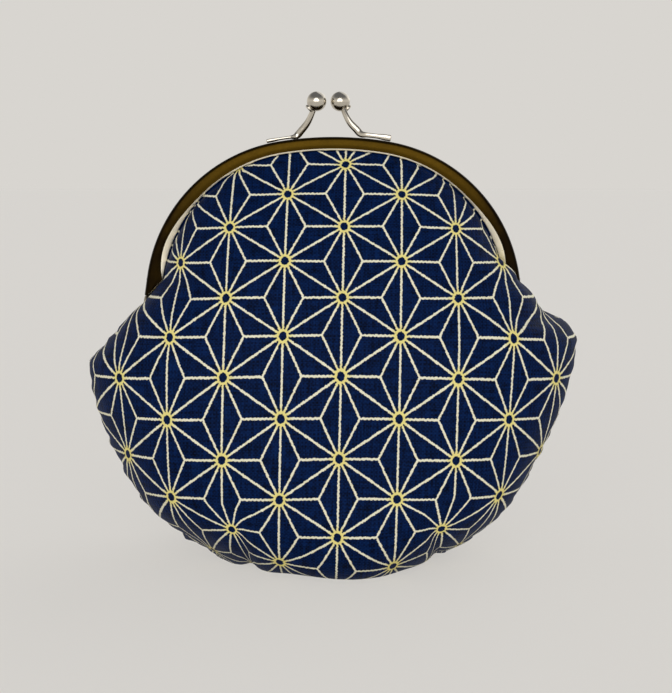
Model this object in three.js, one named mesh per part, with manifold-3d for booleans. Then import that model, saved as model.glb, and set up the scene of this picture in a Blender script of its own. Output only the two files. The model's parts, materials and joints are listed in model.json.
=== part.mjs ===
// Kiss-lock purse in millimetres. X runs across it, its front faces -Y and +Z is up.
// It stands on Z = 0, with the hinge axis along X right above the middle of its base.
import * as THREE from 'three';
import { LoftGeometry } from 'three/addons/geometries/LoftGeometry.js';
import { mergeVertices } from 'three/addons/utils/BufferGeometryUtils.js';
import Module from 'manifold-3d';

// Metal frame: two arched channels that meet at the middle of the purse
const HINGE_SPAN = 100.6; // outer width over the two hinge ends
const HINGE_HEIGHT = 69; // hinge axis over the surface that the purse stands on
const FRAME_RISE = 43.5; // hinge axis to the top of the arch
const CROWN_RADIUS = 88; // flat curve over the top
const SHOULDER_RADIUS = 42; // tighter curve at each shoulder
const LEG_TILT = 8.5; // degrees that the legs lean in towards the top
const CHANNEL_DEPTH = 5; // one half, front to back
const CHANNEL_WALL = 0.7;
const CHANNEL_ROUND = 1.1; // outer corners of the channel
const FACE_AT_TOP = 3.5; // outer edge to lip at the crown
const FACE_AT_HINGE = 4.4; // outer edge to lip at the hinge
const HALVES_GAP = 0.4; // between the closed halves
const CHANNEL_END = 4.2; // the channel stops this far above the hinge axis
const LIP_END = 11.5; // its outer wall ends on a slant that starts this far above the hinge axis
const STRING_END = 9; // the paper string stops this far above the hinge axis
const CLOTH_EXIT = 6.5; // the cloth leaves the channel this far above the hinge axis

// Hinges: a lug on each end of each half and a rivet through each pair
const LUG_THICKNESS = 0.9;
const LUG_RADIUS = 2.6;
const LUG_INSET = 0.8; // outer lug in from the widest point of the frame
const LUG_REACH = 3.8; // depth of the lug where it joins its channel
const LUG_NECK = 3.5; // height over the axis where the lug clears the other half
const LUG_OVERLAP = 2.3; // length of lug inside its channel
const LUG_ARC_START = THREE.MathUtils.degToRad(130); // round end of the lug, from its neck
const LUG_ARC_END = THREE.MathUtils.degToRad(342); // to its outer side
const RIVET_RADIUS = 0.8;
const RIVET_HEAD_RADIUS = 1.8;
const RIVET_HEAD = 0.9;
const RIVET_TAIL_RADIUS = 1.5;
const RIVET_TAIL = 0.7;

// Clasp: two balls on bent arms that cross over the gap between the halves
const CLASP_OFFSET = -1.3; // middle of the clasp from the middle of the frame
const FOOT_END = 16.5; // far end of a foot from the middle of the clasp
const FOOT_START = 9; // near end of a foot
const FOOT_THICKNESS = 1.4;
const FOOT_WIDTH = 3;
const ARM_RADIUS = 0.75;
const ARM_SHOULDER = 5.2; // where the arm turns up, from the middle of the clasp
const ARM_SHOULDER_RISE = 4.6; // height of that turn over the arch
const ARM_SHOULDER_DEPTH = 1.4; // depth of that turn out from the middle of the purse
const BALL_RADIUS = 2.6;
const BALL_SPACING = 6.2; // between the centres of the two balls
const BALL_RISE = 9.3; // ball centre over the top of the arch
const BALL_CROSSING = 0.5; // each ball lies this far beyond the gap

// Cloth purse: outer cloth and lining, front and rear, sewn round the sides and the base
const CLOTH = 0.6;
const LINING = 0.4;
const LAYER_GAP = 0.3; // between cloth, paper string and metal
const LINING_GAP = 0.7; // between cloth and lining
const PAPER_STRING = 1.1; // diameter of the paper string pressed into each channel
const TUCK = 2.6; // cloth pushed into the channel
const BELLY_HEIGHT = 18; // height of the deepest level
const BELLY_DEPTH = 36; // half depth at that level
const BELLY_FULLNESS = 3; // how quickly the cloth swells out below the frame
const BASE_HALF_WIDTH = 26; // flat that the purse stands on
const BASE_HALF_DEPTH = 25;
const EAR_HEIGHT = 58; // corner where the flank meets the slope up to the hinge
const EAR_HALF_WIDTH = 65.4; // that corner before it is rounded
const EAR_ROUND = 7; // rounding of the corner
const FLANK_TOP_POWER = 1.6; // curve of the flank towards the ear
const FLANK_BASE_POWER = 0.63; // curve of the flank towards the base
const EAR_TILT = 0.06; // the ears do not lie level: rise per millimetre across
const TILT_RISE = 44; // height over which that tilt comes in above the base
const TILT_FALL = 9.5; // height over which it dies out below the hinge
const MOUTH_HALF_WIDTH = 50.3; // cloth at the hinge
const MOUTH_HALF_DEPTH = 5.8; // edge of the cloth in front of the hinge
const SLIT_DEPTH = 7; // the side seam starts this far below the hinge axis
const SEAM_GAP = 0.3; // between the front and rear cloth along the seam
const SECTION_POWER = 3.4; // level section over the base: fullness across
const RIDGE_POWER = 2; // level section over the base: roundness of the ridge along the seam
const BASE_SECTION_POWER = 2.2; // the same at the base
const BASE_RIDGE_POWER = 1.3;
const FOLD_LAP = 0.95; // the lower cloth laps outside the upper cloth at the fold
const LAP_LENGTH = 20; // over which the lap dies out
const LINING_FOLD_GAP = 3; // the lower lining starts this far below the fold

// Fineness of the facets
const ARCH_STEPS = 34;
const CLOTH_STEPS = 16;
const UPPER_ROWS = 6;
const EAR_ROWS = 4;
const FLANK_ROWS = 8;
const FLANK_ROW_POWER = 1.5; // rows lie closer together towards the base
const BASE_ROWS = 3;
const STRING_SIDES = 6;
const CORNER_STEPS = 2;
const ROUND_STEPS = 16;
const DOME_STEPS = 2;
const ARM_STEPS = 12;

// Sizes that follow from the ones above
const FRAME_TOP = HINGE_HEIGHT + FRAME_RISE;
const HINGE_HALF = HINGE_SPAN / 2;
const NEAR_FACE = HALVES_GAP / 2; // channel wall at the middle of the purse
const FAR_FACE = NEAR_FACE + CHANNEL_DEPTH; // channel wall on the outside
const SLOT_FACE = FAR_FACE - CHANNEL_WALL - LAYER_GAP; // outer surface of the cloth in the channel
const LINING_START = CLOTH + LINING_GAP; // lining in from the outer surface of the cloth
const LINING_END = LINING_START + LINING;
const SEAM_HALF_GAP = SEAM_GAP / 2;
const LEAN = THREE.MathUtils.degToRad(LEG_TILT);

// The two halves: the front one lies towards -Y, the rear one towards +Y
const FRONT = { name: 'front', facing: -1 };
const REAR = { name: 'rear', facing: 1 };

const wasm = await Module();
wasm.setup();

function manifoldOf(geometry) {
  const plain = new THREE.BufferGeometry();
  plain.setAttribute('position', geometry.getAttribute('position'));
  plain.setIndex(geometry.getIndex());
  const merged = mergeVertices(plain);
  return new wasm.Manifold(new wasm.Mesh({
    numProp: 3,
    vertProperties: new Float32Array(merged.getAttribute('position').array),
    triVerts: new Uint32Array(merged.getIndex().array),
  }));
}

function geometryOf(manifold) {
  const mesh = manifold.getMesh();
  const geometry = new THREE.BufferGeometry();
  geometry.setAttribute('position', new THREE.BufferAttribute(mesh.vertProperties, 3));
  geometry.setIndex(new THREE.BufferAttribute(mesh.triVerts, 1));
  geometry.computeVertexNormals();
  return geometry;
}

// A point at a height, a place across and a depth out from the middle of the purse
function pointOn(half, x, depth, z) {
  return new THREE.Vector3(x, half.facing * depth, z);
}

// A body through rings of points, which run the other way round on the rear half
function loft(half, rings, capped) {
  const ordered = half === FRONT ? rings : rings.map((ring) => [...ring].reverse());
  return new LoftGeometry(ordered, { capStart: capped, capEnd: capped });
}

// A closed sheet between rows of points on its outer and inner faces. At its two ends the
// faces close on the line midway between them.
function sheet(half, outerRows, innerRows) {
  const midway = (row) => outerRows[row].map((spot, i) => spot.clone().lerp(innerRows[row][i], 0.5));
  const last = outerRows.length - 1;
  const outer = [midway(0), ...outerRows, midway(last)];
  const inner = [midway(0), ...innerRows, midway(last)];
  return loft(half, outer.map((line, row) => [...line, ...[...inner[row]].reverse()]), false);
}

function smoothStep(from, to, value) {
  return THREE.MathUtils.smoothstep(value, from, to);
}

// Arch of a flat crown arc, two shoulder arcs and two leaning legs, all tangent to each other
function makeArch(top, halfSpan, crown, shoulder) {
  const tan = Math.tan(LEAN);
  const crownZ = top - crown;
  const inset = halfSpan - shoulder / Math.cos(LEAN) - (crownZ - HINGE_HEIGHT) * tan;
  const reach = crown - shoulder;
  const scale = 1 + tan * tan;
  const root = Math.sqrt(scale * reach * reach - inset * inset);
  const rise = (inset * tan + root) / scale;
  const shoulderX = inset - tan * rise;
  const shoulderZ = crownZ + rise;
  const turn = Math.atan2(rise, shoulderX);
  const legX = (z) => halfSpan - (z - HINGE_HEIGHT) * tan;

  // Half of the arch's width at a height
  function halfWidthAt(z) {
    if (z > crownZ + crown * Math.sin(turn)) {
      return Math.sqrt(Math.max(0, crown * crown - (z - crownZ) ** 2));
    }
    if (z > shoulderZ + shoulder * Math.sin(LEAN)) {
      return shoulderX + Math.sqrt(shoulder * shoulder - (z - shoulderZ) ** 2);
    }
    return legX(z);
  }

  // Evenly spaced points from the right end over the top to the left end. An end above the
  // legs lies on the shoulder arc, which starts there.
  function points(endZ, steps) {
    const lift = THREE.MathUtils.clamp((endZ - shoulderZ) / shoulder, -1, 1);
    const start = Math.max(LEAN, Math.asin(lift));
    const path = new THREE.Path();
    path.moveTo(halfWidthAt(endZ), endZ);
    path.lineTo(shoulderX + shoulder * Math.cos(start), shoulderZ + shoulder * Math.sin(start));
    path.absarc(shoulderX, shoulderZ, shoulder, start, turn, false);
    path.absarc(0, crownZ, crown, turn, Math.PI - turn, false);
    path.absarc(-shoulderX, shoulderZ, shoulder, Math.PI - turn, Math.PI - start, false);
    path.lineTo(-halfWidthAt(endZ), endZ);
    return path.getSpacedPoints(steps);
  }

  return { top, crownZ, crown, halfWidthAt, points };
}

function insetArch(atTop, atHinge) {
  const middle = (atTop + atHinge) / 2;
  return makeArch(FRAME_TOP - atTop, HINGE_HALF - atHinge, CROWN_RADIUS - atTop, SHOULDER_RADIUS - middle);
}

const OUTER_ARCH = insetArch(0, 0);
const LIP_ARCH = insetArch(FACE_AT_TOP, FACE_AT_HINGE);

// A body with one section all along the arch. A section point is a distance in from the
// outer edge and a depth out from the middle of the purse.
function sweepArch(half, endZ, section) {
  const outer = OUTER_ARCH.points(endZ, ARCH_STEPS);
  const lip = LIP_ARCH.points(endZ, ARCH_STEPS);
  const rings = outer.map((edge, i) => {
    const inward = lip[i].clone().sub(edge);
    const face = inward.length();
    inward.normalize();
    return section(face).map(([distance, depth]) => {
      const spot = edge.clone().addScaledVector(inward, distance);
      return pointOn(half, spot.x, depth, spot.y);
    });
  });
  return loft(half, rings, true);
}

// Channel section, open towards the inside of the arch
function channelSection(face) {
  const corner = [];
  for (let i = 0; i <= CORNER_STEPS; i++) {
    const angle = (Math.PI / 2) * (i / CORNER_STEPS);
    corner.push([CHANNEL_ROUND * (1 - Math.sin(angle)), CHANNEL_ROUND * (1 - Math.cos(angle))]);
  }
  const farCorner = corner.map(([down, aside]) => [down, FAR_FACE - aside]);
  const nearCorner = corner.map(([down, aside]) => [down, NEAR_FACE + aside]).reverse();
  return [
    [face, FAR_FACE],
    ...farCorner,
    ...nearCorner,
    [face, NEAR_FACE],
    [face, NEAR_FACE + CHANNEL_WALL],
    [CHANNEL_WALL, NEAR_FACE + CHANNEL_WALL],
    [CHANNEL_WALL, FAR_FACE - CHANNEL_WALL],
    [face, FAR_FACE - CHANNEL_WALL],
  ];
}

// Where the lugs of a half lie across the purse: the front ones outside the rear ones
function lugInset(half) {
  return half === FRONT ? LUG_INSET : LUG_INSET + LUG_THICKNESS + LAYER_GAP;
}

// Flat lug that runs from the channel's end down round the hinge axis
function makeLug(half, side) {
  const top = CHANNEL_END + LUG_OVERLAP;
  const shape = new THREE.Shape();
  shape.moveTo(LUG_REACH, top);
  shape.lineTo(NEAR_FACE, top);
  shape.lineTo(NEAR_FACE, LUG_NECK);
  shape.absarc(0, 0, LUG_RADIUS, LUG_ARC_START, LUG_ARC_END, false);
  shape.lineTo(LUG_REACH, LUG_RADIUS);
  const bore = new THREE.Path();
  bore.absarc(0, 0, RIVET_RADIUS + LAYER_GAP, 0, Math.PI * 2, true);
  shape.holes.push(bore);
  const lug = new THREE.ExtrudeGeometry(shape, {
    depth: LUG_THICKNESS,
    bevelEnabled: false,
    curveSegments: ROUND_STEPS / 2,
  });
  const turned = new THREE.Matrix4().makeBasis(
    new THREE.Vector3(0, half.facing, 0),
    new THREE.Vector3(0, 0, 1),
    new THREE.Vector3(half.facing, 0, 0),
  );
  const middle = side * (HINGE_HALF - lugInset(half) - LUG_THICKNESS / 2);
  turned.setPosition(middle - (half.facing * LUG_THICKNESS) / 2, 0, HINGE_HEIGHT);
  return lug.applyMatrix4(turned);
}

// Prism that trims the outer wall of the channel on a slant, beside the cloth that widens towards the hinge
function lipTrim(half, side) {
  const lipEnd = HINGE_HEIGHT + LIP_END;
  const shape = new THREE.Shape();
  shape.moveTo(0, lipEnd);
  shape.lineTo(side * LIP_ARCH.halfWidthAt(lipEnd), lipEnd);
  shape.lineTo(side * (MOUTH_HALF_WIDTH + LAYER_GAP), HINGE_HEIGHT);
  shape.lineTo(0, HINGE_HEIGHT);
  const depth = CHANNEL_WALL + LAYER_GAP;
  const prism = new THREE.ExtrudeGeometry(shape, { depth, bevelEnabled: false });
  const wall = FAR_FACE - CHANNEL_WALL;
  return prism.rotateX(Math.PI / 2).translate(0, half === FRONT ? -wall : wall + depth, 0);
}

function makeFrameHalf(half) {
  let frame = manifoldOf(sweepArch(half, HINGE_HEIGHT + CHANNEL_END, channelSection));
  for (const side of [-1, 1]) {
    frame = frame.subtract(manifoldOf(lipTrim(half, side)));
    frame = frame.add(manifoldOf(makeLug(half, side)));
  }
  return geometryOf(frame);
}

// Paper string that wedges the cloth in the channel
function makePaperString(half) {
  const radius = PAPER_STRING / 2;
  const middleIn = CHANNEL_WALL + LAYER_GAP + radius;
  const middleDepth = SLOT_FACE - LINING_END - LAYER_GAP - radius;
  const section = [];
  for (let i = 0; i < STRING_SIDES; i++) {
    const angle = (2 * Math.PI * i) / STRING_SIDES;
    section.push([middleIn - radius * Math.sin(angle), middleDepth + radius * Math.cos(angle)]);
  }
  return sweepArch(half, HINGE_HEIGHT + STRING_END, () => section);
}

// Quarter of an ellipse from the rim of a domed head to its middle
function domeOf(radius, height, start) {
  const dome = [];
  for (let i = 0; i < DOME_STEPS; i++) {
    const angle = (Math.PI / 2) * (i / DOME_STEPS);
    dome.push(new THREE.Vector2(radius * Math.cos(angle), start + height * Math.sin(angle)));
  }
  return [...dome, new THREE.Vector2(0, start + height)];
}

// Rivet through both lugs of one hinge, with a domed head outside and a flat tail inside
function makeRivet(side) {
  const headStart = HINGE_HALF - LUG_INSET + LAYER_GAP;
  const tailEnd = HINGE_HALF - lugInset(REAR) - LUG_THICKNESS - LAYER_GAP;
  const profile = [
    new THREE.Vector2(0, tailEnd - RIVET_TAIL),
    new THREE.Vector2(RIVET_TAIL_RADIUS, tailEnd - RIVET_TAIL),
    new THREE.Vector2(RIVET_TAIL_RADIUS, tailEnd),
    new THREE.Vector2(RIVET_RADIUS, tailEnd),
    new THREE.Vector2(RIVET_RADIUS, headStart),
    ...domeOf(RIVET_HEAD_RADIUS, RIVET_HEAD, headStart),
  ];
  const rivet = new THREE.LatheGeometry(profile, ROUND_STEPS);
  return rivet.rotateZ((-side * Math.PI) / 2).translate(0, 0, HINGE_HEIGHT);
}

// Middle of a ball: each crosses over the gap to the other half's side
function ballCentre(half) {
  const x = CLASP_OFFSET - (half.facing * BALL_SPACING) / 2;
  return pointOn(half, x, -BALL_CROSSING, FRAME_TOP + BALL_RISE);
}

function makeBall(half) {
  const ball = new THREE.SphereGeometry(BALL_RADIUS, ROUND_STEPS, ROUND_STEPS / 2 + 2);
  const centre = ballCentre(half);
  return ball.rotateX(Math.PI / 2).translate(centre.x, centre.y, centre.z);
}

// Foot that lies along the crown of the frame, and the arm that bends up from it to the ball
function makeClaspArm(half) {
  const side = -half.facing;
  const across = (distance) => CLASP_OFFSET + side * distance;
  const low = CROWN_RADIUS + LAYER_GAP;
  const high = low + FOOT_THICKNESS;
  const footMiddle = (NEAR_FACE + FAR_FACE) / 2;
  const angles = [FOOT_END, FOOT_START].map((distance) => Math.acos(across(distance) / CROWN_RADIUS));
  const first = Math.min(...angles);
  const last = Math.max(...angles);
  const shape = new THREE.Shape();
  shape.absarc(0, OUTER_ARCH.crownZ, low, last, first, true);
  shape.absarc(0, OUTER_ARCH.crownZ, high, first, last, false);
  const foot = new THREE.ExtrudeGeometry(shape, {
    depth: FOOT_WIDTH,
    bevelEnabled: false,
    curveSegments: CORNER_STEPS * 2,
  });
  foot.rotateX(Math.PI / 2).translate(0, half.facing * footMiddle + FOOT_WIDTH / 2, 0);

  const overCrown = (distance, rise) => {
    const x = across(distance);
    return OUTER_ARCH.crownZ + Math.sqrt(CROWN_RADIUS ** 2 - x * x) + rise;
  };
  const footRise = LAYER_GAP + FOOT_THICKNESS / 2;
  const centre = ballCentre(half);
  const start = FOOT_START + FOOT_THICKNESS;
  const shoulderZ = overCrown(ARM_SHOULDER, ARM_SHOULDER_RISE);
  const turn = pointOn(half, across(ARM_SHOULDER), ARM_SHOULDER_DEPTH, shoulderZ);
  const toBall = turn.clone().sub(centre).normalize();
  const curve = new THREE.CatmullRomCurve3([
    pointOn(half, across(start), footMiddle, overCrown(start, footRise)),
    pointOn(half, across(FOOT_START - ARM_RADIUS), footMiddle, overCrown(FOOT_START, footRise)),
    turn,
    centre.clone().addScaledVector(toBall, BALL_RADIUS + LAYER_GAP),
  ]);
  const ring = new THREE.Shape();
  ring.absarc(0, 0, ARM_RADIUS, 0, Math.PI * 2, false);
  const arm = new THREE.ExtrudeGeometry(ring, {
    extrudePath: curve,
    steps: ARM_STEPS,
    bevelEnabled: false,
    curveSegments: ROUND_STEPS / 4,
  });
  return geometryOf(manifoldOf(foot).add(manifoldOf(arm)));
}

// Line where a face of the cloth or lining comes out of the channel. A face is named by how
// far it lies in from the outer surface of the cloth.
function exitArch(inward) {
  return insetArch(FACE_AT_TOP + LAYER_GAP + inward, FACE_AT_HINGE + LAYER_GAP + inward);
}

const CLOTH_TOP = exitArch(0).top;
const EXIT_HEIGHT = HINGE_HEIGHT + CLOTH_EXIT;

// Half depth of the purse at its middle, at a height
function bellyDepthAt(z) {
  if (z > BELLY_HEIGHT) {
    const down = (CLOTH_TOP - z) / (CLOTH_TOP - BELLY_HEIGHT);
    return SLOT_FACE + (BELLY_DEPTH - SLOT_FACE) * (1 - (1 - down) ** BELLY_FULLNESS);
  }
  const up = z / BELLY_HEIGHT;
  return BASE_HALF_DEPTH + (BELLY_DEPTH - BASE_HALF_DEPTH) * Math.sqrt(1 - (1 - up) ** 2);
}

// Half width of the cloth at a height below the hinge: flank and rounded ear
function flankHalfWidthAt(z) {
  const up = Math.min(1, z / EAR_HEIGHT);
  const curve = (1 - (1 - up) ** FLANK_TOP_POWER) ** FLANK_BASE_POWER;
  const flank = THREE.MathUtils.lerp(BASE_HALF_WIDTH, EAR_HALF_WIDTH, curve);
  const down = (HINGE_HEIGHT - z) / (HINGE_HEIGHT - EAR_HEIGHT);
  const slope = THREE.MathUtils.lerp(MOUTH_HALF_WIDTH, EAR_HALF_WIDTH, down);
  const share = THREE.MathUtils.clamp(0.5 + (slope - flank) / (2 * EAR_ROUND), 0, 1);
  return THREE.MathUtils.lerp(slope, flank, share) - EAR_ROUND * share * (1 - share);
}

// Depth of the cloth's edge at a height: in the channel, in front of the hinge, at the seam
function edgeDepthAt(z, inward) {
  const inChannel = z >= HINGE_HEIGHT;
  const share = smoothStep(0, inChannel ? CLOTH_EXIT : SLIT_DEPTH, Math.abs(z - HINGE_HEIGHT));
  const depth = THREE.MathUtils.lerp(MOUTH_HALF_DEPTH, inChannel ? SLOT_FACE : SEAM_HALF_GAP, share);
  return Math.max(SEAM_HALF_GAP, depth - inward);
}

// Depth of a face at a height and at a share of its swell, which is 0 at the edge and 1 at the middle
function faceDepthAt(z, inward, swell) {
  const edge = edgeDepthAt(z, inward);
  return edge + (bellyDepthAt(z) - inward - edge) * swell;
}

// Share of the half width and of the swell at each step from the right edge to the left edge of a level
function acrossShares(z) {
  const share = smoothStep(0, BELLY_HEIGHT, z);
  const sectionPower = THREE.MathUtils.lerp(BASE_SECTION_POWER, SECTION_POWER, share);
  const ridgePower = THREE.MathUtils.lerp(BASE_RIDGE_POWER, RIDGE_POWER, share);
  const shares = [];
  for (let i = 0; i <= CLOTH_STEPS; i++) {
    const angle = (Math.PI * i) / CLOTH_STEPS;
    const cosine = Math.cos(angle);
    shares.push({
      across: Math.sign(cosine) * Math.abs(cosine) ** (2 / sectionPower),
      swell: Math.abs(Math.sin(angle)) ** (2 / ridgePower),
    });
  }
  return shares;
}

// Sheet above the fold, from the channel down to the hinge axis, between two of its faces
function makeUpperSheet(half, near, far) {
  const outer = OUTER_ARCH.points(EXIT_HEIGHT, CLOTH_STEPS);
  const face = (inward) => {
    const arch = exitArch(inward);
    const edge = arch.points(EXIT_HEIGHT, CLOTH_STEPS);
    const exitHalfWidth = arch.halfWidthAt(EXIT_HEIGHT);
    const inChannel = (push) => edge.map((spot, i) => {
      const outward = outer[i].clone().sub(spot).setLength(push);
      return pointOn(half, spot.x + outward.x, SLOT_FACE - inward, spot.y + outward.y);
    });
    const rows = [inChannel(TUCK + inward), inChannel(0)];
    for (let row = 1; row <= UPPER_ROWS; row++) {
      rows.push(edge.map((spot) => {
        const z = THREE.MathUtils.lerp(spot.y, HINGE_HEIGHT, row / UPPER_ROWS);
        const flare = Math.max(0, (EXIT_HEIGHT - z) / CLOTH_EXIT);
        const mouth = THREE.MathUtils.lerp(exitHalfWidth, MOUTH_HALF_WIDTH - inward, flare);
        const halfWidth = z > EXIT_HEIGHT ? arch.halfWidthAt(z) : mouth;
        const x = z > EXIT_HEIGHT ? spot.x : (spot.x * mouth) / exitHalfWidth;
        const across = Math.min(1, Math.abs(x) / halfWidth);
        const swell = (1 - across ** SECTION_POWER) ** (1 / RIDGE_POWER);
        return pointOn(half, x, faceDepthAt(z, inward, swell), z);
      }));
    }
    return rows;
  };
  return sheet(half, face(near), face(far));
}

// Sheet below the fold, down over the belly and in under the base to the seam
function makeLowerSheet(half, near, far, reachesFold) {
  const levels = reachesFold ? [{ z: HINGE_HEIGHT, underBase: 1 }] : [];
  for (let row = 0; row < EAR_ROWS; row++) {
    const z = THREE.MathUtils.lerp(HINGE_HEIGHT - LINING_FOLD_GAP, EAR_HEIGHT, row / EAR_ROWS);
    levels.push({ z, underBase: 1 });
  }
  for (let row = 0; row <= FLANK_ROWS; row++) {
    const z = EAR_HEIGHT * (1 - row / FLANK_ROWS) ** FLANK_ROW_POWER;
    levels.push({ z, underBase: 1 });
  }
  for (let row = 1; row <= BASE_ROWS; row++) {
    levels.push({ z: 0, underBase: 1 - row / BASE_ROWS });
  }
  const face = (inward) => levels.map(({ z, underBase }) => {
    const lap = FOLD_LAP * (1 - smoothStep(0, LAP_LENGTH, HINGE_HEIGHT - z));
    const offset = inward - lap;
    const tilt = EAR_TILT * smoothStep(0, TILT_RISE, z) * smoothStep(0, TILT_FALL, HINGE_HEIGHT - z);
    return acrossShares(z).map(({ across, swell }) => {
      const x = (flankHalfWidthAt(z) - offset) * across;
      return pointOn(half, x, faceDepthAt(z, offset, swell * underBase), Math.max(z, inward) + tilt * x);
    });
  });
  return sheet(half, face(near), face(far));
}

// Colours and finishes
const NAVY_COTTON = { color: 0x14246b, roughness: 0.75, metalness: 0 };
const PLAIN_LINING = { color: 0x0e1740, roughness: 0.85, metalness: 0 };
const ANTIQUE_BRASS = { color: 0x8a6a38, roughness: 0.35, metalness: 1 };
const NICKEL = { color: 0xd9d2c3, roughness: 0.22, metalness: 1 };
const KRAFT_PAPER = { color: 0xb9a077, roughness: 0.9, metalness: 0 };

const purse = new THREE.Group();
purse.name = 'kiss_lock_purse';

function addNode(name, geometry, finish) {
  const mesh = new THREE.Mesh(geometry, new THREE.MeshStandardMaterial(finish));
  mesh.name = name;
  purse.add(mesh);
}

for (const half of [FRONT, REAR]) {
  addNode(`${half.name}_frame`, makeFrameHalf(half), ANTIQUE_BRASS);
  addNode(`${half.name}_paper_string`, makePaperString(half), KRAFT_PAPER);
  addNode(`${half.name}_clasp_arm`, makeClaspArm(half), NICKEL);
  addNode(`${half.name}_clasp_ball`, makeBall(half), NICKEL);
  addNode(`${half.name}_cloth_upper`, makeUpperSheet(half, 0, CLOTH), NAVY_COTTON);
  addNode(`${half.name}_cloth_lower`, makeLowerSheet(half, 0, CLOTH, true), NAVY_COTTON);
  addNode(`${half.name}_lining_upper`, makeUpperSheet(half, LINING_START, LINING_END), PLAIN_LINING);
  addNode(`${half.name}_lining_lower`, makeLowerSheet(half, LINING_START, LINING_END, false), PLAIN_LINING);
}
addNode('left_hinge_rivet', makeRivet(-1), ANTIQUE_BRASS);
addNode('right_hinge_rivet', makeRivet(1), ANTIQUE_BRASS);

export default purse;
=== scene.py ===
"""Kiss-lock purse: cloth, lining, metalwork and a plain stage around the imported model, in metres."""
import json
import math

import bpy
import numpy as np
from bpy.props import FloatProperty, IntProperty, PointerProperty, StringProperty
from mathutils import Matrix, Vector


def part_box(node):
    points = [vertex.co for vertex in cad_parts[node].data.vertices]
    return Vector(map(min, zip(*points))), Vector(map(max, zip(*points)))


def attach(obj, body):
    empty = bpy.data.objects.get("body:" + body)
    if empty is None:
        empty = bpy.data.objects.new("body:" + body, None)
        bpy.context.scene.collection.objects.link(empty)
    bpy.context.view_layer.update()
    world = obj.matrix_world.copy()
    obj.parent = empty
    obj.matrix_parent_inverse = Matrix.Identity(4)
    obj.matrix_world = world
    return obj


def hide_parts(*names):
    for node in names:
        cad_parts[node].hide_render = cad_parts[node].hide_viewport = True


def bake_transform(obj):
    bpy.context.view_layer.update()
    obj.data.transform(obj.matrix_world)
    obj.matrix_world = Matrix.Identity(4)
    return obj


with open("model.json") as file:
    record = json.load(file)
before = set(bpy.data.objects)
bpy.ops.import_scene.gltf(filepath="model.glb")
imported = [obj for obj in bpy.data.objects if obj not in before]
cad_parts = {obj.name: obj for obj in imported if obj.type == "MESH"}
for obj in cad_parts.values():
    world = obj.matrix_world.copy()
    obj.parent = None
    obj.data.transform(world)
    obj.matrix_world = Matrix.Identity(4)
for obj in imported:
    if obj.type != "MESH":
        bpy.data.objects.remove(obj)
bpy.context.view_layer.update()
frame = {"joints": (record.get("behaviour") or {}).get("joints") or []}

bl_info = {
    "name": "Kiss-lock purse",
    "version": (1, 0, 0),
    "blender": (4, 5, 0),
    "location": "View3D > Sidebar > Purse",
    "description": "Builds a printed cotton purse on an arched metal frame with a ball clasp",
    "category": "Object",
}

MM = 0.001
PICTURE_WIDTH = 672

HINGE = next(joint for joint in frame["joints"] if joint["name"] == "front_half_hinge")
HALVES = {"front": -1, "rear": 1}  # which way each half faces along Y
TINY = 1e-12  # keeps a direction from being divided by nothing


def middle_of(node):
    """Middle of a node's box and half of its height."""
    low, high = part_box(node)
    return np.array((low + high) / 2), (high.z - low.z) / 2


def size(name, description, millimetres):
    """A length that a user can change."""
    return FloatProperty(
        name=name,
        description=description,
        default=millimetres * MM,
        precision=5,
        subtype="DISTANCE",
        unit="LENGTH",
    )


def share(name, description, default):
    """A plain number that a user can change."""
    return FloatProperty(name=name, description=description, default=default, precision=4)


def angle(name, description, degrees):
    """An angle that a user can change."""
    return FloatProperty(
        name=name, description=description, default=math.radians(degrees), subtype="ANGLE", unit="ROTATION"
    )


def colour(name, description, hex_code):
    """A colour that a user can change, written as an sRGB hex value."""
    return StringProperty(name=name, description=description, default=hex_code)


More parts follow.
